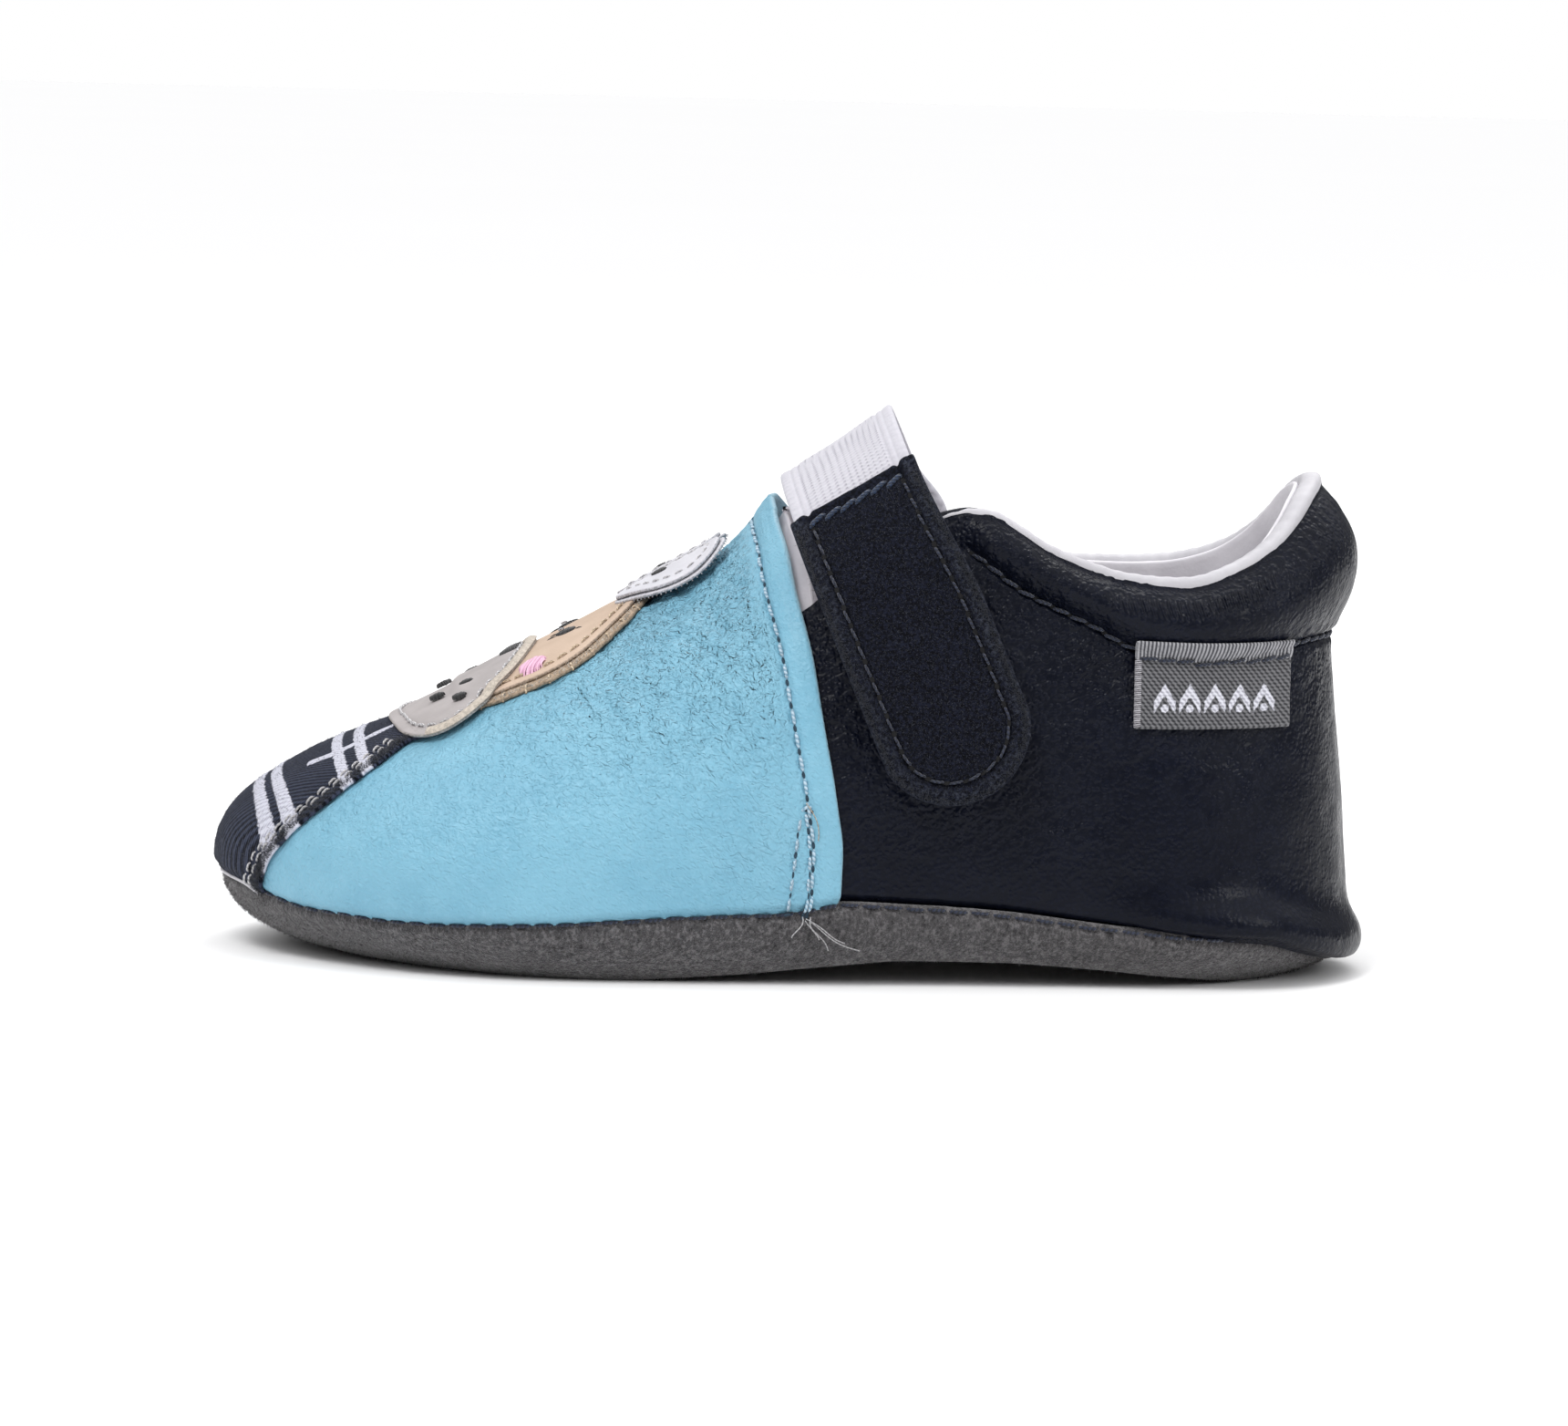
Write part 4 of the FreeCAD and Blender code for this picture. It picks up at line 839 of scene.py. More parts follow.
def label_weave():
    M = Mat("woven_label", (.25, .25, .26), .85, Specular_IOR_Level=.2, Sheen_Weight=.1)
    s = M.sep(M.coords("UV"))
    d = M.math("ADD", s[0], M.math("MULTIPLY", s[1], .8))
    rib = M.math("SINE", M.math("MULTIPLY", d, 2 * math.pi / .64))
    weft = M.math("SINE", M.math("MULTIPLY", s[1], 2 * math.pi / .42))
    f = M.math("MULTIPLY_ADD", rib, .55, M.math("MULTIPLY", weft, .34))
    f = M.math("MULTIPLY_ADD", M.math("SUBTRACT", M.noise(.4, detail=3), .5), 1.1, f)
    grey = M.mix(M.ramp(f, -.7, .7), (.028, .028, .032), (.165, .165, .175))
    light = M.mix(M.ramp(f, -.7, .5), (.34, .34, .39), (.66, .66, .73))
    band = M.attr("band")
    grey = M.mix(band, grey, M.mix(M.ramp(M.math("SINE", M.math("MULTIPLY", s[0], 2 * math.pi / .42)), -.6, .6),
                                   (.065, .065, .075), (.34, .34, .36)))
    ragged = M.math("MULTIPLY_ADD", M.math("SUBTRACT", M.noise(.35, detail=1), .5), .3, M.attr("motif"))
    M.color(M.mix(M.ramp(ragged, -.06, .06), grey, light))
    M.bump(f, .09, .9)
    return M.m


def simple(name, color, rough=.7, size=.4, depth=.05, vary=.4, **kw):
    M = Mat(name, color, rough, **kw)
    n = M.noise(size, detail=3, rough=.6)
    M.color(M.mix(M.ramp(n, .35, .68), tuple(c * (1 - vary) for c in color), tuple(min(1, c * (1 + vary * .6)) for c in color)))
    M.bump(n, depth, .8)
    return M.m


MB, MN, MW = blue_leather(), navy_leather(), white_leather()
MSOLE, MSUEDE, MTW = sole_suede(), suede_navy(), twill()
M_BEIGE = panel_leather("beige_leather", (.53, .405, .315), (.475, .36, .275), (.42, .33, .26))
M_TAN = panel_leather("tan_leather", (.43, .325, .235), (.36, .27, .195), (.33, .25, .18), speck=.6, rough=.85)
M_GREY = panel_leather("grey_leather", (.385, .355, .355), (.33, .305, .303), (.42, .385, .36))
M_PALE = panel_leather("pale_leather", (.60, .595, .635), (.53, .525, .565), (.50, .49, .52))
T_BLUE = thread("thread_pale_blue", (.46, .60, .70), (.17, .33, .45))
T_WHITE = thread("thread_white", (.64, .63, .64), (.34, .33, .35))
T_TAN = thread("thread_tan", (.70, .56, .40), (.36, .26, .17))
T_NAVY = thread("thread_navy", (.014, .021, .048), (.003, .004, .009), rough=.6)
T_INK = thread("thread_bartack", (.011, .030, .078), (.004, .008, .02), rough=.5)
T_BLACK = plain_thread("thread_black", (.018, .018, .020), (.004, .004, .005))
T_PINK = plain_thread("thread_pink", (.80, .50, .64), (.55, .28, .42))
T_EARS = plain_thread("thread_ear_edge", (.46, .45, .48), (.22, .21, .23))
T_CREAM = plain_thread("thread_cream", (.80, .74, .64), (.55, .47, .38))
# stitch_hole and stitch_hole_dark: dark colours of the painted shade in the needle holes
M_HOLE = simple("stitch_hole", (.020, .045, .070), .9)
M_HOLE_DARK = simple("stitch_hole_dark", (.002, .002, .003), .95)
M_FOAM = simple("lining_foam", (.72, .70, .66), .9)
M_HOOK = simple("hook_tape", (.014, .016, .024), .8, size=.35, depth=.25, vary=.7)
M_LOOP = simple("loop_tape", (.016, .018, .026), .95, size=.3, depth=.2, vary=.7, Sheen_Weight=.3)
M_FUZZ_GREY = plain_thread("fibre_grey", (.17, .163, .168), (.02, .018, .02), rough=.9)
M_FUZZ_NAVY = plain_thread("fibre_navy", (.030, .034, .048), (.003, .004, .007), rough=.9)
M_FUZZ_PALE = plain_thread("fibre_pale", (.62, .58, .52), (.30, .27, .24), rough=.9)
ME, ML = elastic_knit(), label_weave()

# Tunable places and light
STRIPES = [(-64.04, .0115, 17.6), (-61.98, .0112, 18.6), (-54.95, .0078, 18.4), (-52.32, .0072, 17.6)]
LINE_X = (-57.9, -46.0)
LINE_Y = flat([(-58, 8.2), (-54.5, 8.7), (-51.3, 8.0), (-47.7, 6.4), (-46, 5.6)])
WORLD = (.18, 1.3)
LIGHTS = [("key", (-.30, -.50, .85), (0, 0, .03), .38, 4.4), ("side", (.75, -.45, .40), (0, 0, .03), .30, 1.7),
          ("back", (.2, .6, .8), (0, 0, .03), .5, 2.2)]
ROLL = 1.47


def done(o, slot, *nodes):
    if nodes:
        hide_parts(*nodes)
    return o


def top(x, side):
    return pick(side, top_l(x), top_m(x)) + 1.1 * smooth(50, 63, x)


def collar_low(x, side):
    return collar_line(x) - (top_l(x) - pick(side, top_l(x), top_m(x)))


def collar_share(x, z, side):
    zt, zs = top(x, side), collar_low(x, side)
    return (z - zs) / np.maximum(zt - zs, 1e-3)


def bulge(x, z, side, power=0.95):
    zt, zs = top(x, side), collar_low(x, side)
    k = np.clip((zt - zs - 1) / 5, 0, 1) * np.clip((x - 15) / 8, 0, 1)
    w = np.clip((z - zs) / np.maximum(zt - zs, 1e-3), 0, 1)
    return 3.6 * collar_size(x) * k * k * (3 - 2 * k) * np.sin(math.pi * w) ** power


def rim(x, z):
    k = np.clip((x - 34) / 26, 0, 1)
    return 2.7 * k * k * (3 - 2 * k) * np.exp(-((z - seam_z(x) - 1.6) / 3) ** 2)


def throat_end(gap):
    def at(z, side):
        g = gap - 1.5 * smooth(48.5, 56.5, z) ** 1.4
        e = throat_x(z) + g + .05 * (side * 20 + 20)
        y = side * width(e, z, side)
        return throat_x(z) + g + .05 * (y + 20)
    return at


def front_grid(v, t, end, lo, hi):
    T, V = np.meshgrid(t, v)
    side = np.where(T < 0, -1, 1)
    z = np.full(T.shape, 20.0)
    for _ in range(24):
        f = front(z)
        x = f + (end(z, side) - f) * (1 - np.cos(math.pi / 2 * np.abs(T)))
        a, b = lo(x, side), hi(x, side)
        z = .4 * z + .6 * (a + V * (b - a))
    f = front(z)
    x = f + (end(z, side) - f) * (1 - np.cos(math.pi / 2 * np.abs(T)))
    return x, z, side


def back_grid(v, t, start, lo, hi):
    T, V = np.meshgrid(t, v)
    side = np.where(T < 0, -1, 1)
    z = np.full(T.shape, 30.0)
    for _ in range(30):
        b = heel_back(z)
        x = b - (b - start(z, side)) * (1 - np.cos(math.pi / 2 * np.abs(T)))
        lo_, hi_ = lo(x, side), hi(x, side)
        z = .4 * z + .6 * (lo_ + V * (hi_ - lo_))
    return x, z, side


def along(line, off, extra=None):
    """line: (x, z, side) rows -> points and normals on the surface at an offset."""
    L = np.asarray(line, float)
    p, n = skin(L[:, 0], L[:, 1], L[:, 2], off)
    return p, n


def dense(pts, n=200):
    """Smooth line through 2-D points."""
    P = np.asarray(pts, float)
    s = np.concatenate([[0], np.cumsum(np.linalg.norm(np.diff(P, axis=0), axis=1))])
    t = np.linspace(0, s[-1], n)
    return np.stack([flat(list(zip(s, P[:, k])))(t) for k in range(P.shape[1])], -1)


def closed_curve(points, n):
    P = np.asarray(points, float)
    Q = np.concatenate([P[-3:], P, P[:3]])
    s = np.concatenate([[0], np.cumsum(np.linalg.norm(np.diff(Q, axis=0), axis=1))])
    a, b = s[3], s[3 + len(P)]
    fx, fy = spline(list(zip(s, Q[:, 0]))), spline(list(zip(s, Q[:, 1])))
    t = np.linspace(a, b, n, endpoint=False)
    return np.stack([fx(t), fy(t)], -1)


def dist_in(pts, outline):
    """Distance to a closed plan outline, positive inside."""
    p = pts.reshape(-1, 2)
    A, B = outline, np.roll(outline, -1, 0)
    best = np.full(len(p), 1e9)
    ins = np.zeros(len(p), bool)
    for a, b in zip(A, B):
        d = b - a
        k = np.clip(((p - a) @ d) / max(d @ d, 1e-12), 0, 1)
        best = np.minimum(best, np.linalg.norm(p - (a + k[:, None] * d), axis=1))
        hit = ((a[1] > p[:, 1]) != (b[1] > p[:, 1]))
        xc = a[0] + (p[:, 1] - a[1]) * d[0] / (d[1] if abs(d[1]) > 1e-12 else 1e-12)
        ins ^= hit & (p[:, 0] < xc)
    return np.where(ins, best, -best).reshape(pts.shape[:-1])


def grid_normals(P, closed=False):
    du = np.gradient(P, axis=0)
    dv = (np.roll(P, -1, 1) - np.roll(P, 1, 1)) / 2 if closed else np.gradient(P, axis=1)
    return unit(np.cross(du, dv))


def sprinkle(P, N, n, weight=None):
    R, C = P.shape[:2]
    if weight is None:
        k = rng.integers(0, R * C, n)
    else:
        w = np.maximum(np.broadcast_to(weight, (R, C)).ravel(), 0)
        k = rng.choice(R * C, n, p=w / w.sum())
    j = rng.normal(0, .15, (n, 3))
    nn = N.reshape(-1, 3)[k]
    return P.reshape(-1, 3)[k] + j - nn * np.sum(j * nn, -1, keepdims=True), nn


# =====================================================================================
# Vamp
# =====================================================================================
zz = np.linspace(50, 62, 2400)
Z_TOP = float(zz[np.argmax(front(zz) > throat_x(zz) + 1.0 - 1.5 * smooth(48.5, 56.5, zz) ** 1.4)]) - .004
R, C = 190, 520
v = 1 - (1 - np.linspace(0, 1, R)) ** 1.35
t = np.linspace(-1, 1, C)
x, z, side = front_grid(v, t, throat_end(0), lambda x, s: seam_z(x) + .25, lambda x, s: np.full(np.shape(x), Z_TOP))
P, N = skin(x, z, side, 0.0)
edge_d = throat_end(0)(z, side) - x
up = z - seam_z(x)
wr = (smooth(10, 30, up) * smooth(-46, -20, x) * .75 + .25 * smooth(3, 12, up)) * smooth(2.6, 6.0, edge_d)
wr = np.clip(wr + .28 * smooth(18, 6, up) * smooth(-14, -4, x) * smooth(2.6, 5, edge_d), 0, 1)
rot = np.stack([P[..., 0] * .8 + P[..., 2] * .6, P[..., 1], -P[..., 0] * .6 + P[..., 2] * .8], -1)
h = creases(rot, (2.6, 3.6, 7.5), 3, sharp=3.0) * .26 + creases(rot, (1.3, 1.7, 3.0), 9, sharp=2.4) * .13
h = h * wr + fractal(P, 6.0, 21, 3) * .16 * (.35 + .65 * wr) + fractal(P, 1.2, 33, 2) * .07 * wr
h = h - .34 * np.exp(-((edge_d - 3.0) / .42) ** 2) + .17 * np.exp(-((edge_d - 1.4) / .9) ** 2)
leg = smooth(21.8, 20.6, z)
h = h - .16 * np.exp(-((edge_d - 5.2) / .4) ** 2) * leg
h = h - .85 * smooth(1.2, 0, up - .25) ** 1.5
face_d = dist_in(np.stack([x, P[..., 1] - SH], -1), closed_curve([(-42, 0), (-41.5, -6), (-40.5, -11), (-38.5, -14.2),
    (-36.4, -15.0), (-33.5, -15.8), (-30, -16.5), (-26.6, -15.9), (-23.7, -14.4), (-21.2, -11.6),
    (-18.6, -8.3), (-17, -4.5), (-16.4, 0), (-17, 4.5), (-18.6, 8.3), (-21.2, 11.6), (-23.7, 14.4),
    (-26.6, 15.9), (-30, 16.5), (-33.5, 15.8), (-36.4, 15), (-38.5, 14.2), (-40.5, 11), (-41.5, 6)], 120))
h = np.where((face_d > -1.2) & (z > ZB), np.minimum(h, 0), h)
h = np.where((x < -40), np.minimum(h, .02), h)
vamp = shell("vamp_leather", P + N * (1.2 + h)[..., None], N, 1.05, "shoe", rim=6, attrs={"wr": wr}, material=MB)
done(vamp, "blue_leather", "vamp_outer")

x, z, side = front_grid(np.linspace(0, 1, 40), np.linspace(-1, 1, 121), throat_end(-6.4),
                        lambda x, s: seam_z(x) + .4, lambda x, s: np.full(np.shape(x), Z_TOP - 5.5))
P, N = skin(x, z, side, -.08)
done(shell("vamp_interlining_cloth", P, N, .8, "shoe", material=M_FOAM), "interlining", "vamp_interlining")

x, z, side = front_grid(1 - (1 - np.linspace(0, 1, 90)) ** 1.3, np.linspace(-1, 1, 241), lambda z, s: throat_end(-.3)(z, s) + 1.5 * smooth(36, 46, z) * smooth(55, 50, z),
                        lambda x, s: seam_z(x) + .4, lambda x, s: np.full(np.shape(x), Z_TOP + .1))
P, N = skin(x, z, side, 0)
h = fractal(P, 7, 44, 3) * .1
done(shell("vamp_lining_leather", P + N * (-1.42 + h)[..., None], N, .6, "shoe", rim=4,
           material=white_leather("vamp_lining_leather", (.70, .67, .71), (.58, .55, .59))), "white_leather", "vamp_lining")

# =====================================================================================
# Toe panel
# =====================================================================================
toe_edge = flat([(5, -62.9), (8.4, -62.6), (10, -62.3), (12.1, -61.4), (14.3, -59.6), (16.3, -57.5), (18.2, -55.2),
                 (20.1, -52.8), (22.1, -50.1), (24.1, -47.4), (25.5, -45.2), (26.4, -42.6), (27.2, -40.8), (30, -38)])
x, z, side = front_grid(np.linspace(0, 1, 120), np.linspace(-1, 1, 300), lambda z, s: toe_edge(z),
                        lambda x, s: seam_z(x) + .45, lambda x, s: np.full(np.shape(x), 27.4))
P, N = skin(x, z, side, 0)
girth = P[..., 1]
far = np.abs(girth)
stripe = np.full(x.shape, -9.0)
for x0_, bend, reach in STRIPES:
    stripe = np.maximum(stripe, np.minimum(.59 - np.abs(x - x0_ - bend * far ** 2) * .93, (reach - far) * .8))
line_d = np.where(side < 0, np.abs(far - LINE_Y(x)), 9)
stripe = np.maximum(stripe, np.minimum(.70 - line_d, np.minimum(x - LINE_X[0], LINE_X[1] - x)))
inner = np.minimum(toe_edge(z) - x, 9)
h = fractal(P, 5, 51, 3) * .07 + noise(P, .9, 53) * .03
h = h + .10 * smooth(-.1, .25, stripe) - .16 * np.exp(-((inner - 1.35) / .35) ** 2)
h = h - .5 * smooth(1.0, 0, z - seam_z(x) - .45) ** 1.5
uv = np.stack([x + 70, girth + 40], -1)
PT, NT = P + N * (1.82 + h)[..., None], N
toe = shell("toe_panel_twill", PT, N, .5, "shoe", rim=4, uv=uv, attrs={"stripe": stripe}, material=MTW)
done(toe, "striped_twill", "toe_shirt_panel")
p, n = sprinkle(PT, NT, 2600, smooth(1.2, .1, inner))
fray = fibres("toe_panel_fray", p, n, .75, "shoe", M_FUZZ_NAVY, radius=.035, lean=1.3)
done(fray, "striped_twill")
p, n = sprinkle(PT, NT, 2600)
done(fibres("toe_panel_nap", p, n, .35, "shoe", M_FUZZ_NAVY, radius=.025, lean=1.0), "striped_twill")
lines, radii = [], []
for off_in, pitch in ((1.15, 1.75), (1.75, 1.75)):
    for s_ in (-1, 1):
        q = np.linspace(8.8, 25.0, 160)
        pp, nn = skin(toe_edge(q) - off_in, q, s_, 1.86)
        l, r, hl = stitch_row(pp, nn, pitch=pitch, length=.7, radius=.15, rise=.12, slant=.14, wobble=.06)
        lines += l
        radii += r
done(tubes("toe_panel_stitches", lines, radii, "shoe", sides=6, material=T_WHITE), "white_leather")
# white lining edge at the foot of the panel
q = np.linspace(-1, 1, 160)
xx = -63.0 - 5.2 * (1 - np.abs(q) ** 2.2)
xx = np.maximum(xx, toe_front(seam_z(xx)) + .02)
pp, nn = skin(xx, seam_z(xx) + .12, np.where(q < 0, -1, 1), 1.15)
pp, _ = resample(pp, .4)
done(tubes("toe_lining_edge", [pp], .24, "shoe", sides=8, material=MW), "white_leather")

# =====================================================================================
# Face
# =====================================================================================
def mirror(points):
    return points + [(a, -b) for a, b in reversed(points) if b != 0]


HEAD = mirror([(-42, 0), (-41.5, -6), (-40.5, -11), (-38.5, -14.2), (-36.4, -15.0), (-33.5, -15.8),
               (-30, -16.5), (-26.6, -15.9), (-23.7, -14.4), (-21.2, -11.6), (-18.6, -8.3), (-17, -4.5), (-16.4, 0)])
MUZZLE = mirror([(-48.6, 0), (-47.3, -8.5), (-45.8, -13.2), (-43.8, -15.9), (-41.3, -17.5), (-39.3, -17.2),
                 (-37.6, -16.2), (-35.6, -14.2), (-33.6, -12.1), (-32, -8.3), (-31.1, -4.2), (-30.8, 0)])
EAR = [(-20.9, -2.6), (-19.2, -5.5), (-17.4, -7.4), (-15.1, -9.2), (-12.8, -9.8), (-10.5, -9.1),
       (-8.9, -7.6), (-7.6, -5.4), (-7.6, -3), (-8.9, -1.5), (-12, -.8), (-16, -.6), (-19.6, -1.0)]


def inward(curve, by):
    """Plan outline moved in by a distance."""
    T = np.roll(curve, -1, 0) - np.roll(curve, 1, 0)
    T = T / np.linalg.norm(T, axis=1, keepdims=True)
    Nn = np.stack([-T[:, 1], T[:, 0]], -1)
    if np.sum((curve.mean(0) - curve) * Nn) < 0:
        Nn = -Nn
    by = np.asarray(by)
    return curve + Nn * (by if by.ndim == 0 else by[:, None])


def patch(name, curve, off, thick, slot, material, *nodes, rings=30, disp=None, body="shoe", uvs=1.0, centre=None):
    c = np.asarray(curve).mean(0) if centre is None else np.asarray(centre, float)
    u = 1 - (1 - np.linspace(.03, 1, rings)) ** 1.6
    pl = c + (curve[None] - c) * u[:, None, None]
    xs, ys = pl[..., 0], pl[..., 1]
    o = off(pl) if callable(off) else np.full(xs.shape, float(off))
    P, N = top_point(xs, ys, 0)
    d = dist_in(pl, curve)
    hh = disp(pl, P, d) if disp else 0
    ob = shell(name, P + N * (o + hh)[..., None], N, thick, body, closed=True, disc=True, rim=5,
               uv=pl * uvs, material=material, attrs={"rub": smooth(.9, .1, d)})
    return done(ob, slot, *nodes), P + N * (o + hh)[..., None], N, d


HC, MC, EC = closed_curve(HEAD, 300), closed_curve(MUZZLE, 300), closed_curve(EAR, 200)


def rounded(curve, n):
    for _ in range(n):
        curve = (np.roll(curve, 1, 0) + 2 * curve + np.roll(curve, -1, 0)) / 4
    return curve


HC, MC, EC = rounded(HC, 90), rounded(MC, 30), rounded(EC, 20)
HI = inward(HC, 1.3)
ragged = inward(HC, noise(np.concatenate([HC, np.zeros((300, 1))], 1), 1.1, 61) * .16)
_, P, N, d = patch("face_rim", ragged, 1.78, .55, "tan_leather", M_TAN, "face_backing",
                   disp=lambda pl, P, d: fractal(P, 2, 62, 2) * .05 + noise(P, .7, 63) * .04)
p, n = sprinkle(P, N, 1500, smooth(1.0, .1, d))
done(fibres("face_rim_fray", p, n, .5, "shoe", M_FUZZ_PALE, radius=.03, lean=1.2), "tan_leather")
_, P, N, d = patch("face_leather", HI, 2.3, .5, "beige_leather", M_BEIGE, "face_panel",
                   disp=lambda pl, P, d: fractal(P, 4, 64, 3) * .07 - .15 * np.exp(-((d - 1.3) / .3) ** 2)
                   + .12 * smooth(0, 4, d))


def muzzle_off(pl):
    return 2.34 + .5 * smooth(-.9, .7, dist_in(pl, HI)) + 0


_, P, N, d = patch("muzzle_leather", MC, muzzle_off, .55, "grey_leather", M_GREY, "muzzle_patch",
                   disp=lambda pl, P, d: fractal(P, 4, 66, 3) * .07 - .17 * np.exp(-((d - 1.3) / .3) ** 2)
                   + .16 * smooth(0, 3.5, d))
# folded rear edge of the muzzle
k = (MC[:, 0] > -42.5)
idx = np.where(k)[0]
start_ = idx[np.argmax(np.diff(np.concatenate([[idx[0] - 300 + 0], idx]))) if len(idx) else 0]
order = np.roll(np.arange(300), -int(np.argmin(MC[:, 0])))
order = order[(MC[order, 0] > -43.0)]
strip = MC[order]
inn = inward(MC, .85)[order]
rows_ = []
for w_, hgt in ((-.35, .02), (-.2, .2), (0, .32), (.3, .38), (.6, .34), (.85, .16), (.95, .02)):
    rows_.append((strip + (inn - strip) * (w_ / .85), hgt))
P = np.stack([top_point(q[:, 0], q[:, 1], muzzle_off(q) + .05 + hh)[0] for q, hh in rows_])
N = np.stack([top_point(q[:, 0], q[:, 1], 0)[1] for q, hh in rows_])
done(shell("muzzle_folded_edge", P, N, .15, "shoe", rim=2, material=panel_leather(
    "cream_leather", (.50, .445, .385), (.42, .37, .315), (.42, .37, .31), speck=.4)), "beige_leather")


def run_on_plan(curve, off, **kw):
    pp, nn = top_point(curve[:, 0], curve[:, 1], off(curve) if callable(off) else off)
    if kw.pop("close", True):
        pp, nn = np.concatenate([pp, pp[:1]]), np.concatenate([nn, nn[:1]])
    return stitch_row(pp, nn, **kw)


lines, radii, holes = run_on_plan(inward(MC, 1.3), lambda q: muzzle_off(q) + .02, pitch=2.0, length=.74, radius=.19, rise=.17, wobble=.05)
done(tubes("muzzle_stitches", lines, radii, "shoe", material=T_WHITE), "white_leather")
lines, radii, holes = run_on_plan(inward(HC, 2.6), 2.36, pitch=1.9, length=.74, radius=.14, rise=.1, wobble=.04)
done(tubes("face_stitches", lines, radii, "shoe", material=T_TAN), "tan_leather")
# overcast stitches across the edge of the face
lines, radii = [], []
cc, total = resample(np.concatenate([HC, np.zeros((300, 1))], 1), 2.7, closed=True)
ci = closed_curve(cc[:-1, :2], len(cc) - 1)
co, cin = inward(ci, -.35), inward(ci, .8)
for j in range(len(ci)):
    if ci[j, 0] < -39.5:
        continue
    jj = np.linspace(0, 1, 8)[:, None]
    q = co[j] + (cin[j] - co[j]) * jj + np.array([.25, 0]) * (jj - .5)
    pp, nn = top_point(q[:, 0], q[:, 1], 0)
    w = np.linspace(-1, 1, 8)
    lines.append(pp + nn * (1.34 + .62 * smooth(-1, -.1, w) - .28 * smooth(.5, 1, w))[:, None])
    radii.append(np.full(8, .13))
done(tubes("face_overcast", lines, radii, "shoe", sides=6, material=T_TAN), "tan_leather")

for s_ in (-1, 1):
    e = EC * np.array([1, -s_])
    # two layers, the lower a little larger
    o1, P, N, d = patch("ear_%s_lower" % ("left" if s_ < 0 else "right"), inward(e, -.0), 2.62, .4, "pale_leather", M_PALE,
                        disp=lambda pl, P, d: fractal(P, 3, 70, 2) * .05)
    o2, P, N, d = patch("ear_%s_upper" % ("left" if s_ < 0 else "right"), inward(e, .4), 3.2, .45, "pale_leather", M_PALE,
                        disp=lambda pl, P, d: fractal(P, 3, 71, 2) * .06 + .15 * smooth(0, 2.2, d)
                        - .04 * np.exp(-((d - .9) / .25) ** 2))
    if s_ < 0:
        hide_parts("ear_patches")
    lines, radii, holes = run_on_plan(inward(e, 1.55), 3.24, pitch=1.7, length=.7, radius=.12, rise=.1)
    done(tubes("ear_stitches_%s" % ("left" if s_ < 0 else "right"), lines, radii, "shoe", material=T_WHITE), "white_leather")
    lines, radii = [], []
    ring, _ = resample(np.concatenate([e, np.zeros((200, 1))], 1), .62, closed=True)
    ring = ring[:-1, :2]
    out_, in_ = inward(ring, -.22), inward(ring, .5)
    for j in range(len(ring)):
        q = out_[j] + (in_[j] - out_[j]) * np.linspace(0, 1, 6)[:, None]
        pp, nn = top_point(q[:, 0], q[:, 1], 0)
        lines.append(pp + nn * np.array([2.1, 2.3, 2.5, 2.62, 2.64, 2.5])[:, None])
        radii.append(np.full(6, .07) * rng.uniform(.8, 1.15))
    done(tubes("ear_edge_thread_%s" % ("left" if s_ < 0 else "right"), lines, radii, "shoe", sides=5, material=T_EARS), "black_thread")


def satin(name, places, a, b, off, material, slot, node, turn=0.0, gap=.19, high=.36):
    lines, radii, discs = [], [], []
    for j, (px, py) in enumerate(places):
        p, n = top_point(px, py, off)
        fx = unit(np.array([1.0, 0, 0]) - n * n[0])
        fy = np.cross(n, fx)
        ang = turn * (-1 if py < 0 else 1)
        ux, uy = fx * math.cos(ang) + fy * math.sin(ang), -fx * math.sin(ang) + fy * math.cos(ang)
        m = int(2 * a / gap)
        for i in range(m):
            u = -a + (i + .5) * 2 * a / m
            half_ = b * math.sqrt(max(1 - (u / a) ** 2, 0)) * (1 + rng.normal(0, .05)) + .05
            w = np.linspace(-1, 1, 11)
            yy = w * half_
            hgt = high * (1 - (u / a) ** 2 * .5) * (1 - w ** 4) - .22 * np.abs(w) ** 6
            q = px + ux[0] * u + uy[0] * yy, py + ux[1] * u + uy[1] * yy
            base, nn = top_point(q[0], q[1], off)
            lines.append(base + nn * (hgt + rng.normal(0, .015))[:, None] + ux * rng.normal(0, .03))
            radii.append(np.full(11, .125))
    ob = tubes(name, lines, radii, "shoe", sides=6, material=material)
    return done(ob, slot, node)


satin("nose_satin", [(-33.4, 0)], 1.5, 2.2, 2.92, T_BLACK, "black_thread", "nose", high=.34)
satin("eyes_satin", [(-26.9, -4.9), (-26.9, 4.9)], 1.3, .85, 2.40, T_BLACK, "black_thread", "eyes", turn=.35, high=.26)
satin("cheeks_satin", [(-30.6, -12.1), (-30.6, 12.1)], 1.65, 2.1, 2.40, T_PINK, "pink_thread", "cheeks", turn=.4)
satin("muzzle_spots_satin", [(-42.0, -7.1), (-39.1, -11.7), (-38.5, -7.3), (-42.0, 7.1), (-39.1, 11.7), (-38.5, 7.3)],
      .95, .5, 2.92, T_BLACK, "black_thread", "muzzle_spots", turn=.35, gap=.16, high=.25)
satin("ear_marks_satin", [(-15.2, -3.9), (-15.2, 3.9)], 1.0, .62, 3.30, T_BLACK, "black_thread", "ear_marks", turn=.3, high=.22)
lines = []
for s_ in (-1, 1):
    for ax, ay, bx, by in ((-27.7, 4.0, -28.9, 3.2), (-28.0, 4.8, -29.2, 4.6), (-25.7, 5.7, -24.9, 6.5)):
        q = np.linspace(0, 1, 7)
        xs, ys = ax + (bx - ax) * q, s_ * (ay + (by - ay) * q)
        pp, nn = top_point(xs, ys, 2.36)
        lines.append(pp + nn * (.14 * np.sin(math.pi * q) - .03)[:, None])
